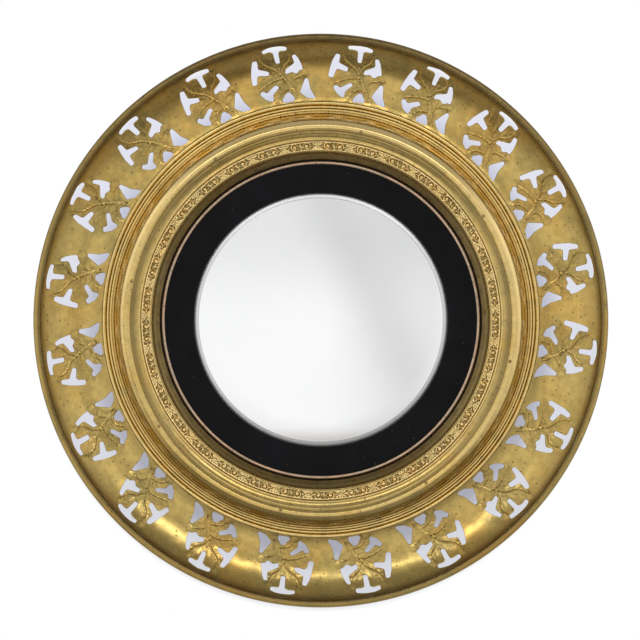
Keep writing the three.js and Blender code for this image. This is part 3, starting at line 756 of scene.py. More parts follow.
def sector_mesh(index):
    """One sprig's sector of the sheet, with its holes and its share of the rolled edge."""
    random = np.random.default_rng(100 + index)
    turn = SPRIG_ANGLES[index]
    to_last = (turn - SPRIG_ANGLES[index - 1]) % (2 * math.pi)
    to_next = (SPRIG_ANGLES[(index + 1) % len(SPRIG_ANGLES)] - turn) % (2 * math.pi)
    first, last = (AFTER_SPRIG - 1) * to_last, AFTER_SPRIG * to_next
    border = sector_border(first, last)
    lean = math.radians(random.uniform(-0.8, 0.8))
    spin = np.array([[math.cos(lean), -math.sin(lean)], [math.sin(lean), math.cos(lean)]])
    grow = 1.0 + random.uniform(-0.012, 0.012)
    shift = random.uniform(-0.2, 0.2, 2)

    def to_plan(drawn):
        return (np.asarray(drawn) @ spin.T) * grow + shift + (0.0, FIELD_RADIUS)

    def to_drawn(plan):
        return ((plan - (0.0, FIELD_RADIUS) - shift) / grow) @ spin

    outlines = []
    for corners in HOLES:
        cut = np.array(corners, float) + random.uniform(-0.3, 0.3, (len(corners), 2))
        outline = to_plan(resampled(rounded(cut), HOLE_SPACING, closed=True))
        outlines.append(outline if ring_area(outline) > 0 else outline[::-1])
    mouths = [widened(outline, MOUTH_WIDENING) for outline in outlines]
    all_mouths = np.vstack(mouths)

    lines = [*ribs, stem]
    features = list(lines)
    for line in lines:
        along = np.gradient(line, axis=0)
        along /= np.linalg.norm(along, axis=1)[:, None]
        across = np.stack([-along[:, 1], along[:, 0]], axis=1)
        for offset in (-1.9, -0.95, 0.95, 1.9):
            features.append(line + offset * across)
    features += [resampled(vein, 1.3) for vein in veins]
    features = to_plan(np.vstack(features))
    features = features[nearest_gap(features, all_mouths) > 0.55]
    for mouth in mouths:
        features = features[~inside(features, mouth)]
    kept = []
    for point in features:
        if not kept or np.min(np.linalg.norm(np.array(kept) - point, axis=1)) > 0.5:
            kept.append(point)
    features = np.array(kept)

    def near_border(points):
        angle = np.arctan2(points[:, 0], points[:, 1])
        radius = np.hypot(points[:, 0], points[:, 1])
        side = np.minimum(angle - first, last - angle) * radius
        return (side < BORDER_GAP) | (radius < FLANGE_INNER + 1.2) | (radius > ROLL_EDGE - 1.0)

    def in_field(points):
        return np.linalg.norm(points - (0.0, FIELD_RADIUS), axis=1) < FIELD_REACH

    def keep_fine(points):
        return in_field(points) & ~near_border(points)

    def keep_coarse(points):
        return ~in_field(points) & ~near_border(points)

    def clear_of(points, others, gap):
        points = points[nearest_gap(points, others) > gap]
        for mouth in mouths:
            points = points[~inside(points, mouth)]
        return points

    fine = clear_of(scattered(random, FINE, keep_fine), np.vstack([all_mouths, features]), 0.8)
    coarse = clear_of(scattered(random, COARSE, keep_coarse), all_mouths, 1.2)
    front_plan = np.vstack([border, *mouths, features, fine, coarse])
    back_fill = clear_of(scattered(random, BACK_COARSE, lambda p: ~near_border(p)), all_mouths, 1.6)
    back_plan = np.vstack([border, *outlines, back_fill])

    def loops_of(rings):
        loops, start = [list(range(len(border)))], len(border)
        for ring in rings:
            loops.append(list(range(start, start + len(ring))))
            start += len(ring)
        return loops

    front_loops, back_loops = loops_of(mouths), loops_of(outlines)
    front_faces = triangulated(front_plan, front_loops)
    back_faces = triangulated(back_plan, back_loops)

    front_height, front_stain_and_highlight = relief(to_drawn(front_plan))
    back_height, _ = relief(to_drawn(back_plan))
    start_back = len(front_plan)
    points = [
        on_sheet(front_plan, front_height, turn), on_sheet(back_plan, 0.8 * back_height - SHEET, turn),
    ]
    stains_and_light = [dish_tarnish_and_shade(front_plan, front_stain_and_highlight, turn), np.full(len(back_plan), 0.35)]
    faces = front_faces[:, ::-1].tolist() + (back_faces + start_back).tolist()

    # Each hole's wall: a ring of points between its wide mouth and its outline on the back.
    count = start_back + len(back_plan)
    for outline, mouth_loop, back_loop in zip(outlines, front_loops[1:], back_loops[1:]):
        height, _ = relief(to_drawn(outline))
        points.append(on_sheet(outline, height - MOUTH_DEPTH, turn))
        stains_and_light.append(np.full(len(outline), 0.1))
        size = len(outline)
        for i in range(size):
            j = (i + 1) % size
            lip, lip_next = count + i, count + j
            faces.append([mouth_loop[i], mouth_loop[j], lip_next, lip])
            faces.append([lip, lip_next, back_loop[j] + start_back, back_loop[i] + start_back])
        count += size

    # The rolled edge: its outside carries on from the sheet's back and its inside from the front.
    edge = np.linspace(first, last, COLUMNS + 1)
    seam = [COLUMNS + SIDE_ROWS + (COLUMNS - k) for k in range(COLUMNS + 1)]
    edge_turned = edge + turn

    def roll_rows(size, rows, first_row):
        """Adds the rows of one side of the roll, and returns the indices of each row's points."""
        nonlocal count
        indices = [first_row]
        for step in range(1, rows + 1):
            psi = math.radians(ROLL_START + ROLL_TURN * step / rows)
            r = ROLL_RADIUS + size * math.cos(psi)
            f = ROLL_FORWARD + size * math.sin(psi)
            points.append(place(np.full(COLUMNS + 1, r), f, edge_turned))
            # The roll's inner turn is darker, and its outside gets painted shade towards the top.
            late = ramp(step / rows, 0.38, 0.5)
            top_shade = np.clip(np.cos(edge_turned), 0, 1)
            stains_and_light.append(0.1 + 0.75 * late + (0.2 + 0.6 * top_shade) * (1 - late))
            indices.append(list(range(count, count + COLUMNS + 1)))
            count += COLUMNS + 1
        return indices

    outer = roll_rows(ROLL_INNER + SHEET, OUTER_ROLL_ROWS, [s + start_back for s in seam])
    inner = roll_rows(ROLL_INNER, INNER_ROLL_ROWS, seam)
    for low, high in zip(outer[:-1], outer[1:]):
        faces += [[low[k], low[k + 1], high[k + 1], high[k]] for k in range(COLUMNS)]
    for low, high in zip(inner[:-1], inner[1:]):
        faces += [[low[k + 1], low[k], high[k], high[k + 1]] for k in range(COLUMNS)]
    for k in range(COLUMNS):
        faces.append([outer[-1][k], outer[-1][k + 1], inner[-1][k + 1], inner[-1][k]])
        faces.append([k + 1, k, k + start_back, k + 1 + start_back])
    return np.vstack(points), faces, np.concatenate(stains_and_light)


def merged(parts, tolerance=1e-6):
    """The sectors as one mesh, with the points that they share on their borders joined."""
    points = np.vstack([p for p, _, _ in parts])
    stains_and_light = np.concatenate([s for _, _, s in parts])
    keys = np.round(points / tolerance).astype(np.int64)
    starts = np.cumsum([0] + [len(p) for p, _, _ in parts])
    lookup, target = {}, np.arange(len(points))
    steps = [(a, b, c) for a in (0, -1, 1) for b in (0, -1, 1) for c in (0, -1, 1)]
    for i, key in enumerate(map(tuple, keys.tolist())):
        around = ((key[0] + a, key[1] + b, key[2] + c) for a, b, c in steps)
        match = next((lookup[near] for near in around if near in lookup), None)
        if match is None:
            lookup[key] = i
        else:
            target[i] = match
    used, compact = np.unique(target, return_inverse=True)
    faces = []
    for (_, part_faces, _), start in zip(parts, starts):
        faces += [[int(compact[v + start]) for v in face] for face in part_faces]
    return points[used], faces, stains_and_light[used]


dish_points, dish_faces, dish_stains_and_shade = merged([sector_mesh(k) for k in range(len(SPRIG_ANGLES))])
piece(
    "dish_sheet", dish_points, dish_faces, DISH_BRASS, "pierced_dish",
    sharp=50, tarnish_and_painted_light=dish_stains_and_shade,
)
turned(
    "edge_wire", arc((ROLL_RADIUS, ROLL_FORWARD), 1.7, 0, 345, 23), IRON, "rim_wire", segments=120
)

# ---- Stepped moulding -----------------------------------------------------------------------------
CREST_RADIUS, CREST_FORWARD, CREST_CURVE = 186.2, 35.4, 4.6
MOULDING_FRONT = [
    (209.0, 17.6),
    (210.38, 17.2),
    *arc((208.2, 18.8), 2.2, -8, 165, 16),
    *arc((204.5, 20.0), 1.32, -15, 200, 12),
    *arc((201.75, 20.9), 1.45, -25, 205, 13),
    (199.6, 20.2),
    (198.9, 20.3),
    *bend((198.2, 21.2), (198.2, 33.78), (188.5, 39.38), 22),
    *arc((CREST_RADIUS, CREST_FORWARD), CREST_CURVE, 58, 114, 12),
    *bend((184.1, 39.4), (182.9, 38.7), (182.3, 37.4), 5),
    *bend((182.1, 37.25), (180.9, 37.45), (179.8, 36.9), 4),
    *bend((179.3, 36.6), (176.8, 34.9), (175.2, 34.7), 8),
    *arc((174.0, 34.2), 1.15, 45, 180, 9),
    (172.9, 32.1),
    (163.1, 32.1),
    *bend((162.4, 32.0), (160.0, 26.4), (154.0, 22.9), 14),
]
MOULDING_BACK = [
    (154.0, 21.9),
    (159.2, 24.6),
    (163.0, 30.8),
    (174.2, 30.8),
    (181.2, 35.8),
    *[(187 + 9.9 * math.cos(a), 21.2 + 17.5 * math.sin(a)) for a in np.linspace(math.pi / 2, 0, 14)],
    (196.9, 17.6),
]


# Marks round the moulding, as (radius, reach, strength): patina in its grooves, painted shade in the
# inner cove beside the black ring, and lighter where negative, as wear and as a painted highlight.
MOULDING_STAINS_AND_LIGHT = [
    (211.6, 1.0, -0.5), (208.8, 1.4, -0.45), (205.8, 0.3, 0.2), (204.5, 0.7, -0.5), (203.2, 0.25, 0.2),
    (201.7, 0.7, -0.45), (199.3, 0.5, 0.35), (189.0, 4.0, -0.15), (186.2, 1.6, -0.3), (182.2, 0.5, 0.3),
    (180.9, 2.0, 0.4), (174.0, 0.9, -0.35), (172.7, 0.3, 0.3), (161.5, 1.5, 0.4), (158.0, 2.4, 0.72),
    (154.5, 2.6, 0.8),
]


def moulding_tarnish_and_light(radius, angle):
    """The marks, and the painted light and shade that change round the moulding.

    Its slope gets a painted highlight at the top and painted shade below, its cove is darker at
    both sides, and its crest gets painted shade at the lower left.
    """
    total = np.full(radius.shape, 0.03)
    slope = np.exp(-(((radius - 193.5) / 5.0) ** 4))
    # Painted highlight on the slope, strongest at the top and the sides.
    total = total - 0.9 * slope * np.clip(0.8 + 0.8 * np.cos(angle), 0, 1)
    # Painted shade on the slope at the bottom.
    total = total + 0.5 * slope * np.clip(-1.2 * np.cos(angle), 0, 1)
    # The cove is darker at both sides.
    total = total + 0.42 * peak(radius, 178.6, 3.0) * np.abs(np.sin(angle)) ** 1.5
    # Painted shade on the outer side of the crest at the lower left.
    total = total + 0.55 * peak(radius, 188.5, 2.7) * np.clip(-1.1 * np.cos(angle - 0.7), 0, 1)
    for mark, reach, strength in MOULDING_STAINS_AND_LIGHT:
        total = total + strength * peak(radius, mark, reach)
    return np.minimum(total, 0.92)


UNEVENNESS = 0.05
moulding_waves = waves(8, 18, 26.0, 70.0)


def hand_made(radius, forward, angle):
    """The section moved forward by the slight unevenness of spinning by hand."""
    lift = UNEVENNESS * moulding_waves(radius * np.sin(angle), radius * np.cos(angle))
    return radius, forward + lift


turned(
    "moulding_spun", MOULDING_FRONT + MOULDING_BACK, MOULDING_BRASS, "stepped_moulding",
    segments=300, sharp=60, wobble=hand_made, stains_and_light=moulding_tarnish_and_light,
)

# ---- Scroll band ----------------------------------------------------------------------------------
BAND_INNER, BAND_OUTER, BAND_BACK, BAND_FRONT, BAND_RELIEF = 163.0, 172.6, 32.42, 33.0, 1.6
BAND_MIDDLE = (BAND_INNER + BAND_OUTER) / 2
BAND_PAIRS = 33
BAND_COLUMNS, BAND_ROWS = BAND_PAIRS * 60, 22

# The leaves that fill the gap between two pairs: where along and across, heading, length and width.
LEAVES = [
    (3.2, 1.9, 0.55, 2.5, 1.05), (3.2, -1.9, -0.55, 2.5, 1.05), (1.0, 2.4, 1.2, 1.8, 0.9),
    (1.0, -2.4, -1.2, 1.8, 0.9), (4.6, 0.0, 0.0, 1.7, 0.8), (0.0, 0.0, 0.0, 2.2, 1.0),
]


def dome(distance, size):
    """Height of a round bead at a distance from its middle, one high and as wide as its size."""
    return np.sqrt(np.clip(1 - (distance / size) ** 2, 0, None))


def scroll_relief(along, across):
    """Height of the stamped scrolls: along is in millimetres from the middle of a pair."""
    height = np.zeros(along.shape)
    for side in (-1, 1):
        x, y = (along - side * 6.3) * side, across - 0.1
        reach, heading = np.hypot(x, y), np.arctan2(y, x)
        turns = reach / 2.5 - heading / (2 * math.pi) - 0.15
        coil = (0.5 + 0.5 * np.cos(2 * math.pi * turns)) ** 1.2
        rim = ramp(reach, 4.2, 3.7)
        height = np.maximum(height, 0.95 * coil * rim)
        height = np.maximum(height, dome(reach, 1.2))
        tail = np.hypot(along - side * 2.2, (across + 2.2 * side) * 1.3)
        height = np.maximum(height, 0.55 * peak(tail, 1.9, 0.5) * (reach > 3.4))
    height = np.maximum(height, 0.95 * dome(np.hypot(along, across), 1.35))
    half = math.pi * BAND_MIDDLE / BAND_PAIRS
    for side in (-1, 1):
        for place_along, place_across, heading, long, wide in LEAVES:
            u, v = half - along * side - place_along, across - place_across
            p = u * math.cos(heading) + v * math.sin(heading)
            q = -u * math.sin(heading) + v * math.cos(heading)
            leaf = np.clip(1 - (p / long) ** 2 - (q / wide) ** 2, 0, None)
            vein = 0.25 * peak(q, 0.0, 0.25) * (leaf > 0)
            height = np.maximum(height, 0.8 * np.sqrt(leaf) - vein)
    return height


def scroll_band():
    """The band's points, faces and patina with painted highlights: a stamped front over a flat back."""
    angles = np.linspace(0, 2 * math.pi, BAND_COLUMNS, endpoint=False)
    radii = np.linspace(BAND_INNER, BAND_OUTER, BAND_ROWS + 1)
    radius, angle = np.meshgrid(radii, angles, indexing="ij")
    pitch = 2 * math.pi / BAND_PAIRS
    local = (angle + 0.02) % pitch - pitch / 2
    across = radius - (BAND_MIDDLE - 0.35)
    height = scroll_relief(local * BAND_MIDDLE, across)
    height *= ramp(np.abs(across), 4.5, 4.0)
    edge_beads = np.maximum(0.9 * dome(radius - 171.5, 0.95), 0.6 * dome(radius - 163.8, 0.75))
    height = np.maximum(height, edge_beads)
    height += 0.05 * small_waves(radius * np.sin(angle) * 2.2, radius * np.cos(angle) * 2.2)
    # Darker in the hollows as patina, and lighter on the raised scrolls as wear and as a painted
    # highlight.
    stain = np.clip(0.85 - 1.9 * height, -0.6, 0.85)
    top = place(radius, BAND_FRONT + BAND_RELIEF * height, angle)
    back = place(np.array([[BAND_OUTER], [BAND_INNER]]), BAND_BACK, angles[None])
    points = np.vstack([top.reshape(-1, 3), back.reshape(-1, 3)])
    stains_and_light = np.concatenate([stain.ravel(), np.zeros(2 * BAND_COLUMNS)])
    faces = grid_faces(BAND_ROWS + 3, BAND_COLUMNS, True, True)
    return points, [face[::-1] for face in faces], stains_and_light


band_points, band_faces, band_stains_and_light = scroll_band()
piece(
    "band_of_scrolls", band_points, band_faces, SCROLL_BRASS, "scroll_band",
    sharp=60, tarnish_and_painted_light=band_stains_and_light,
)

# ---- Black ring, slip bead and looking-glass --------------------------------------------------------
turned(
    "black_ring",
    [
        (122.0, 20.02), (153.7, 20.02), *arc((153.4, 22.72), 0.3, 0, 90, 3),
        *arc((122.9, 22.12), 0.9, 90, 180, 5),
    ],
    EBONY, "ebonised_ring", segments=256, sharp=50,
)


def slip_joint(radius, forward, angle):
    """A soldered joint swells the front of the bead at one place on its lower right."""
    away = np.degrees(np.abs((angle - math.radians(152) + math.pi) % (2 * math.pi) - math.pi))
    return radius, forward + 0.35 * peak(away, 0.0, 0.7) * (forward > 23.4)


turned(
    "slip_beading", arc((151.2, 23.32), 1.6, 0, 180, 14), SLIP_COPPER, "slip_bead",
    segments=360, sharp=60, wobble=slip_joint,
)

GLASS_CURVE, GLASS_APEX, GLASS_EDGE, BEVEL_EDGE, BEVEL_DROP = 450.0, 37.13, 127.0, 117.6, 1.2
GLASS_THICKNESS = 4.0


def glass_section():
    """The front of the glass from its middle to its edge, and its back from the edge to the middle."""
    def bulge(radius, apex, curve):
        return apex - (curve - math.sqrt(curve**2 - radius**2))

    def bevel(radius):
        return BEVEL_DROP * max(0.0, (radius - BEVEL_EDGE) / (GLASS_EDGE - BEVEL_EDGE))

    front_radii = [*np.linspace(1.5, BEVEL_EDGE, 60), *np.linspace(BEVEL_EDGE, GLASS_EDGE, 7)[1:]]
    front = [(r, bulge(r, GLASS_APEX, GLASS_CURVE) - bevel(r)) for r in front_radii]
    back = [
        (r, bulge(r, GLASS_APEX - GLASS_THICKNESS, GLASS_CURVE - GLASS_THICKNESS))
        for r in (GLASS_EDGE, 100.0, 70.0, 40.0, 1.5)
    ]
    return front, back


def domed(name, front, back, material, node, segments, sharp):
    """A solid disc whose front and back both reach the axis."""
    rows = np.array([*front, *back])
    angles = np.linspace(0, 2 * math.pi, segments, endpoint=False)
    radius, angle = np.meshgrid(rows[:, 0], angles, indexing="ij")
    ring = place(radius, np.repeat(rows[:, 1][:, None], segments, axis=1), angle).reshape(-1, 3)
    points = np.vstack([ring, [[0, -front[0][1] * MM, 0], [0, -back[-1][1] * MM, 0]]])
    faces = capped_faces(len(rows), segments)
    return piece(name, points, faces, material, node, sharp=sharp)


glass_front, glass_back = glass_section()
domed("looking_glass", glass_front, glass_back, SILVER, "mirror_glass", 256, 0.9)

# ---- Fasteners --------------------------------------------------------------------------------------
def turned_stud(profile, x, z, seat, facing, segments=28):
    """Points and faces of a turned fastener whose profile runs from its tip to the top of its head.

    Each profile point is (radius, height over the seat), and facing is 1 to the front or -1 to the wall.
    """
    rows = np.array(profile[1:-1])
    angles = np.linspace(0, 2 * math.pi, segments, endpoint=False)
    radius, angle = np.meshgrid(rows[:, 0], angles, indexing="ij")
    forward = seat + facing * np.repeat(rows[:, 1][:, None], segments, axis=1)
    rings = np.stack([x + radius * np.cos(angle), -forward, z + radius * np.sin(angle)], axis=-1)
    ends = [[x, -(seat + facing * height), z] for height in (profile[0][1], profile[-1][1])]
    points = np.vstack([rings.reshape(-1, 3), ends]) * MM
    faces = capped_faces(len(rows), segments)
    return points, faces if facing > 0 else [face[::-1] for face in faces]


def extruded(outline, near, far):
    """A closed solid with an outline in (x, z), anticlockwise seen from the front."""
    outline = np.array(outline, float)
    size = len(outline)
    points = np.vstack([
        np.stack([outline[:, 0], np.full(size, -forward), outline[:, 1]], axis=1)
        for forward in (near, far)
    ]) * MM
    faces = [list(range(size))[::-1], list(range(size, 2 * size))]
    faces += [[i, (i + 1) % size, size + (i + 1) % size, size + i] for i in range(size)]
    return points, faces


def circle(x, z, radius, steps=20):
    angles = np.linspace(0, 2 * math.pi, steps, endpoint=False)
    return [(x + radius * math.cos(a), z + radius * math.sin(a)) for a in angles]


def cut(made, solids, sharp=35):
    """Takes closed solids, given as points and faces, out of a piece."""
    points, faces, start = [], [], 0
    for solid_points, solid_faces in solids:
        points.append(solid_points)
        faces += [[v + start for v in face] for face in solid_faces]
        start += len(solid_points)
    cutter_mesh = bpy.data.meshes.new("cutter")
    cutter_mesh.from_pydata(np.vstack(points).tolist(), [], faces)
    cutter = bpy.data.objects.new("cutter", cutter_mesh)
    bpy.context.scene.collection.objects.link(cutter)
    modifier = made.modifiers.new("cut", "BOOLEAN")
    modifier.operation = "DIFFERENCE"
    modifier.solver = "EXACT"
    modifier.object = cutter
    bpy.context.view_layer.update()
    depsgraph = bpy.context.evaluated_depsgraph_get()
    mesh = bpy.data.meshes.new_from_object(made.evaluated_get(depsgraph))
    made.modifiers.clear()
    made.data = mesh
    mesh.polygons.foreach_set("use_smooth", np.ones(len(mesh.polygons), bool))
    mesh.set_sharp_from_angle(angle=math.radians(sharp))
    bpy.data.objects.remove(cutter)


PIN_CIRCLE, PIN_SEAT, PIN_SHANK, PIN_LENGTH = 185.0, 40.6, 0.8, 14.0
PIN_PLACES = [around_axis(PIN_CIRCLE, math.radians(12 + 45 * k)) for k in range(8)]
PIN_PROFILE = [
    (0, -PIN_LENGTH), (0.3, -13.4), (PIN_SHANK, -12.4), (PIN_SHANK, 0.0), (1.6, 0.0), (1.6, 0.1),
    (1.46, 0.34), (1.12, 0.56), (0.6, 0.74), (0, 0.8),
]
for number, (x, z) in enumerate(PIN_PLACES, 1):
    pin_points, pin_faces = turned_stud(PIN_PROFILE, x, z, PIN_SEAT, 1)
    piece(
        f"pin_{number}", pin_points, pin_faces, PIN_BRASS, f"brass_pin_{number}", sharp=50
    )


def screw(name, node, x, z, seat, head, height, shank, length, slot_turn):
    """A slotted screw whose head lies towards the wall, with head and shank as radii."""
    turns = np.radians(range(0, 90, 15))
    crown = [(head * math.cos(a), height * (0.25 + 0.75 * math.sin(a))) for a in turns]
    profile = [
        (0, -length), (0.3 * shank, -length + 0.6), (shank, -length + 2.4), (shank, 0.0), (head, 0.0),
        *crown, (0, height),
    ]
    points, faces = turned_stud(profile, x, z, seat, -1)
    made = piece(name, points, faces, IRON, node)
    half_width, reach = 0.15 * head, 1.2 * head
    corners = [(-reach, -half_width), (reach, -half_width), (reach, half_width), (-reach, half_width)]
    across, along = math.sin(slot_turn), math.cos(slot_turn)
    slot = [(x + u * along - v * across, z + u * across + v * along) for u, v in corners]
    cut(made, [extruded(slot, seat - height - 1.0, seat - 0.5 * height)])


BOARD_SCREW_CIRCLE, BOARD_SCREW_SEAT, BOARD_SCREW_LENGTH = 131.95, 7.68, 9.5
BOARD_SCREWS = [around_axis(BOARD_SCREW_CIRCLE, math.radians(30 + 60 * k)) for k in range(6)]
for number, (x, z) in enumerate(BOARD_SCREWS, 1):
    screw(
        f"board_screw_{number}", f"backboard_screw_{number}", x, z, BOARD_SCREW_SEAT,
        head=2.9, height=1.6, shank=1.4, length=BOARD_SCREW_LENGTH, slot_turn=1.9 * number,
    )
STRAP_SCREW_SEAT, STRAP_SCREW_LENGTH, STRAP_SCREWS = 6.6, 7.5, ((0.0, 164.4), (0.0, 157.3))
for number, (x, z) in enumerate(STRAP_SCREWS, 1):
    screw(
        f"strap_screw_slotted_{number}", f"strap_screw_{number}", x, z, STRAP_SCREW_SEAT,
        head=2.6, height=1.2, shank=1.3, length=STRAP_SCREW_LENGTH, slot_turn=0.5 + 1.3 * number,
    )

# ---- Wooden ring, backboard and packing --------------------------------------------------------------
CARCASS_SECTION = [
    (137.0, 0.0), (207.0, 0.0), *arc((207.2, 0.8), 0.8, -90, 0, 4), (208.0, 15.8), (196.6, 15.8),
    *[(187 + 9.5 * math.cos(a), 21.2 + 17.1 * math.sin(a)) for a in np.linspace(0, math.pi / 2, 14)],
    (180.95, 35.42), (174.5, 30.5), (163.7, 30.5), (159.4, 23.4), (155.0, 21.5), (155.0, 19.72),
    (128.0, 19.72), (128.0, 11.28), (136.2, 11.28), (136.2, 0.8),
]
POCKET_HALF, POCKET_LOW, POCKET_HIGH, POCKET_DEPTH, POCKET_CORNER = 16.6, 146.0, 198.2, 8.4, 3.0
carcass = turned(
    "wooden_ring", CARCASS_SECTION, PINE, "carcass_ring", segments=200, sharp=40
)
pocket = rounded(
    [
        (-POCKET_HALF, POCKET_LOW), (POCKET_HALF, POCKET_LOW),
        (POCKET_HALF, POCKET_HIGH), (-POCKET_HALF, POCKET_HIGH),
    ],
    POCKET_CORNER,
)
cut(carcass, [extruded(pocket, -2.0, POCKET_DEPTH)])


def drilled(places, radius, near, far):
    """Closed solids that cut a round hole at each place."""
    return [extruded(circle(x, z, radius), near, far) for x, z in places]


TIP_ROOM = 0.3
cut(
    carcass,
    drilled(BOARD_SCREWS, 1.6, 9.0, BOARD_SCREW_SEAT + BOARD_SCREW_LENGTH + TIP_ROOM)
    + drilled(STRAP_SCREWS, 1.5, POCKET_DEPTH - 1.0, STRAP_SCREW_SEAT + STRAP_SCREW_LENGTH + TIP_ROOM)
    + drilled(PIN_PLACES, 1.0, PIN_SEAT - PIN_LENGTH - TIP_ROOM, PIN_SEAT),
)
backboard = domed(
    "back_panel",
    [(2.0, 10.98), (70.0, 10.98), (135.3, 10.98), (135.9, 10.4)],
    [(135.9, 8.9), (134.6, 7.98), (70.0, 7.98), (2.0, 7.98)],
    BOARD, "backboard", 180, 30,
)
cut(backboard, drilled(BOARD_SCREWS, 1.7, 7.0, 12.0), sharp=30)
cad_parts["glass_packing"].material_slots[0].material = FELT

# ---- Strap and hanging ring -------------------------------------------------------------------------
EYE_HEIGHT, EYE_FORWARD, EYE_RADIUS, EYE_BORE = 172.1, 5.0, 3.1, 1.9
STRAP_HALF, STRAP_TAIL, TAIL_ROUND = 7.5, 152.1, 5.0
EYE_WRAP = math.radians(285)


def strap_path(size):
    """(z, forward) along one side of the strap: up from its tail, then round the eye."""
    straight = [(z, EYE_FORWARD + size) for z in np.linspace(STRAP_TAIL, EYE_HEIGHT, 24)]
    turns = np.linspace(0, EYE_WRAP, 40)[1:]
    return straight + [
        (EYE_HEIGHT + size * math.sin(t), EYE_FORWARD + size * math.cos(t)) for t in turns
    ]


def strap():
    """The strap's points and faces: its section swept across, narrowed to a round at its tail."""
    section = np.array(strap_path(EYE_RADIUS) + strap_path(EYE_BORE)[::-1])
    across = np.linspace(-1, 1, 9)
    from_round = np.clip(STRAP_TAIL + TAIL_ROUND - section[:, 0], 0, TAIL_ROUND)
    half = STRAP_HALF - TAIL_ROUND + np.sqrt(TAIL_ROUND**2 - from_round**2)
    half = np.where(section[:, 1] > EYE_FORWARD + EYE_BORE - 0.2, half, STRAP_HALF)
    x = half[:, None] * across[None]
    z, forward = (np.repeat(section[:, k][:, None], len(across), axis=1) for k in (0, 1))
    points = np.stack([x, -forward, z], axis=-1).reshape(-1, 3) * MM
    rows, columns = len(section), len(across)
    faces = grid_faces(rows, columns, True, False)
    for k in range(rows // 2 - 1):
        strip = [k, k + 1, rows - 2 - k, rows - 1 - k]
        faces.append([row * columns for row in strip])
        faces.append([row * columns + columns - 1 for row in strip[::-1]])
    return points, faces


strap_points, strap_faces = strap()
strap_piece = piece(
    "ring_strap", strap_points, strap_faces, HANGER_BRASS, "hanger_strap", sharp=40
)
cut(strap_piece, drilled(STRAP_SCREWS, 1.6, 6.0, 9.0), sharp=40)

RING_WIRE, BOW_HALF, BOW_DROP, BOW_CORNER = 1.6, 11.5, 21.0, 2.2


def ring_path():
    """The ring's closed centre line in (x, z): a bar, two corners and a half-oval bow."""
    start = math.asin(BOW_CORNER / BOW_DROP)
    bow = [
        (BOW_HALF * math.cos(a), EYE_HEIGHT - BOW_DROP * math.sin(a))
        for a in np.linspace(start, math.pi - start, 60)
    ]
    bar_end = BOW_HALF - BOW_CORNER
    left = bend(bow[-1], (-BOW_HALF, EYE_HEIGHT), (-bar_end, EYE_HEIGHT), 7)[1:]
    bar = [(x, EYE_HEIGHT) for x in np.linspace(-bar_end, bar_end, 10)][1:]
    right = bend((bar_end, EYE_HEIGHT), (BOW_HALF, EYE_HEIGHT), bow[0], 7)[1:-1]
    return np.array(bow + left + bar + right)


def wire_loop(path, size, steps=16):
    """Points and faces of a round wire along a closed path in the hanging ring's plane at rest."""
    along = np.roll(path, -1, axis=0) - np.roll(path, 1, axis=0)
    along /= np.linalg.norm(along, axis=1)[:, None]
    side = np.stack([-along[:, 1], along[:, 0]], axis=1)
    turn = np.linspace(0, 2 * math.pi, steps, endpoint=False)[None]
    x = path[:, :1] + size * side[:, :1] * np.cos(turn)
    z = path[:, 1:] + size * side[:, 1:] * np.cos(turn)
    forward = np.broadcast_to(EYE_FORWARD + size * np.sin(turn), x.shape)
    points = np.stack([x, -forward, z], axis=-1).reshape(-1, 3) * MM
    return points, grid_faces(len(path), steps, True, True)


ring_points, ring_faces = wire_loop(ring_path(), RING_WIRE)
piece(
    "swinging_ring", ring_points, ring_faces, HANGER_BRASS, "hanging_ring",
    body=SWINGING, sharp=60,
)

# ---- World with its studio light, and floor ---------------------------------------------------------
world = bpy.data.worlds.new("studio")
bpy.context.scene.world = world
world.use_nodes = True
world.node_tree.nodes.clear()
w = Shading(world.node_tree)
direction = w.node("ShaderNodeTexCoord").outputs["Generated"]
parts = w.node("ShaderNodeSeparateXYZ", {0: direction})
dx, dy, dz = parts.outputs[0], parts.outputs[1], parts.outputs[2]


def in_degrees(operation, value):
    return w.times(w.math(operation, value), 180 / math.pi)


# Degrees above the horizon, to the right, and away from straight in front of the mirror.
height = in_degrees("ARCSINE", dz)
side = in_degrees("ARCSINE", dx)
off_axis = in_degrees("ARCCOSINE", w.times(dy, -1.0))

# The wall that the glass's middle shows: darker to the top and the right, with a faint slanting streak.
wall = w.times(w.smooth(height, -5, 22, 1.0, 0.84), w.smooth(side, -2, 22, 1.0, 0.86))
STREAK_X, STREAK_Z, STREAK_PLACE, STREAK_WIDTH, STREAK_SHADE = 0.906, 0.423, 0.218, 0.13, 0.14
streak_gap = w.minus(w.plus(w.times(dx, STREAK_X), w.times(dz, STREAK_Z)), STREAK_PLACE)
streak_square = w.math("POWER", w.math("DIVIDE", streak_gap, STREAK_WIDTH), 2.0)
streak = w.math("EXPONENT", w.times(streak_square, -1.0))
wall = w.times(wall, w.minus(1.0, w.times(streak, STREAK_SHADE)))


def by_height(levels):
    """A light level that follows the height above the horizon, from (degrees, level) pairs."""
    scale = max(level for _, level in levels)
    ramp = w.node("ShaderNodeValToRGB", {0: w.plus(w.math("DIVIDE", height, 180.0), 0.5)})
    stops = ramp.color_ramp.elements
    while len(stops) > 1:
        stops.remove(stops[-1])
    for number, (degrees, level) in enumerate(levels):
        stop = stops[0] if number == 0 else stops.new(degrees / 180.0 + 0.5)
        stop.position = degrees / 180.0 + 0.5
        stop.color = (level / scale, level / scale, level / scale, 1.0)
    return w.times(ramp.outputs[0], scale)


def between(low, high, first, second):
    """One level turning into another as the side goes from low to high degrees."""
    return w.blend(w.math("DIVIDE", w.minus(side, low), high - low, clamp=True), first, second)


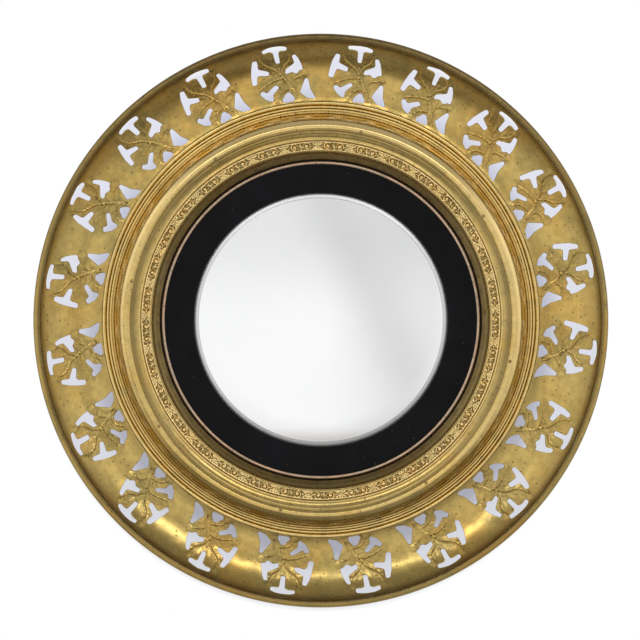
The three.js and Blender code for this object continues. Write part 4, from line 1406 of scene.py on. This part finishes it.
# Levels of the light round the mirror at heights in degrees, from the far left to the far right.
DEGREES = (-78, -62, -50, -40, -31, -20, -5, 10, 21, 31, 36, 41, 48, 60, 78)
LEVELS = (
    (0.3, 0.35, 0.5, 0.7, 0.9, 1.0, 1.05, 1.0, 1.0, 1.1, 0.8, 0.6, 0.5, 0.45, 0.45),
    (0.2, 0.2, 0.25, 0.35, 0.95, 0.95, 0.9, 0.9, 1.0, 4.2, 1.9, 0.55, 0.45, 0.42, 0.45),
    (0.2, 0.2, 0.22, 0.25, 0.7, 0.8, 0.85, 1.0, 1.6, 5.2, 2.4, 0.65, 0.5, 0.45, 0.4),
    (0.25, 0.3, 0.4, 0.55, 0.75, 0.9, 0.95, 1.0, 1.05, 0.9, 0.6, 0.45, 0.4, 0.45, 0.45),
)
far_left, left, right, far_right = (by_height(tuple(zip(DEGREES, row))) for row in LEVELS)
around = between(-38.0, -22.0, far_left, left)
around = between(-22.0, 22.0, around, right)
around = between(22.0, 34.0, around, far_right)
behind = by_height(((-55, 0.6), (0, 0.6), (55, 0.8)))
around = w.blend(w.smooth(off_axis, 91.5, 88.5), behind, around)
studio = w.blend(w.smooth(off_axis, 34, 29.5), around, wall)
studio_tint = w.mix(w.smooth(height, -30, -60), (1.0, 1.0, 1.0), (1.0, 0.84, 0.62))

# Behind the object the backdrop is white, with the soft shade that shows through the piercings.
view_right = Vector((1.0, 0.0, 0.0))
view_up = Vector((0.0, math.sin(CAMERA_RISE), math.cos(CAMERA_RISE)))
ahead = w.vector_math("DOT_PRODUCT", direction, tuple(-camera_back)).outputs["Value"]
shade_distance = CAMERA_DISTANCE + 0.02


def offset_along(axis):
    """How far along an axis of the view a ray from the camera meets the backdrop, in metres."""
    part = w.vector_math("DOT_PRODUCT", direction, tuple(axis)).outputs["Value"]
    return w.times(w.math("DIVIDE", part, ahead), shade_distance)


shade_x = offset_along(view_right)
shade_z = w.plus(offset_along(view_up), 0.006)
shade_radius = w.math("SQRT", w.plus(w.math("POWER", shade_x, 2.0), w.math("POWER", shade_z, 2.0)))
within = w.times(w.smooth(shade_radius, 0.2745, 0.2665), w.smooth(ahead, 0.9, 0.97))
near_colour = w.mix(w.smooth(shade_z, -0.2, 0.2), (0.4, 0.4, 0.46), (0.55, 0.56, 0.68))
far_colour = w.mix(w.smooth(shade_z, -0.2, 0.2), (0.68, 0.69, 0.75), (0.76, 0.77, 0.86))
shade = w.mix(w.smooth(shade_radius, 0.212, 0.24), near_colour, far_colour)
backdrop = w.mix(within, (1.0, 1.0, 1.0), shade)

is_camera = w.node("ShaderNodeLightPath").outputs["Is Camera Ray"]
tinted = w.vector_math("SCALE", studio_tint)
w.join(studio, tinted.inputs["Scale"])
background = w.node("ShaderNodeBackground", {"Color": w.mix(is_camera, tinted.outputs[0], backdrop)})
w.node("ShaderNodeOutputWorld", {"Surface": background.outputs[0]})

floor_mesh = bpy.data.meshes.new("floor")
floor_ring = [(*around_axis(0.9, a), -1.05) for a in np.linspace(0, 2 * math.pi, 64)[:-1]]
floor_mesh.from_pydata(floor_ring, [], [list(range(len(floor_ring)))[::-1]])
floor = bpy.data.objects.new("floor", floor_mesh)
bpy.context.scene.collection.objects.link(floor)
floor_material, floor_shading, floor_shader, floor_coords = new_material("pale_floor", Roughness=0.7)
floor_tone = floor_shading.noise(floor_coords, 4.0, 3.0)
floor_colour = floor_shading.mix(floor_tone, (0.72, 0.72, 0.72), (0.78, 0.78, 0.78))
floor_shading.join(floor_colour, floor_shader.inputs["Base Color"])
floor_mesh.materials.append(floor_material)
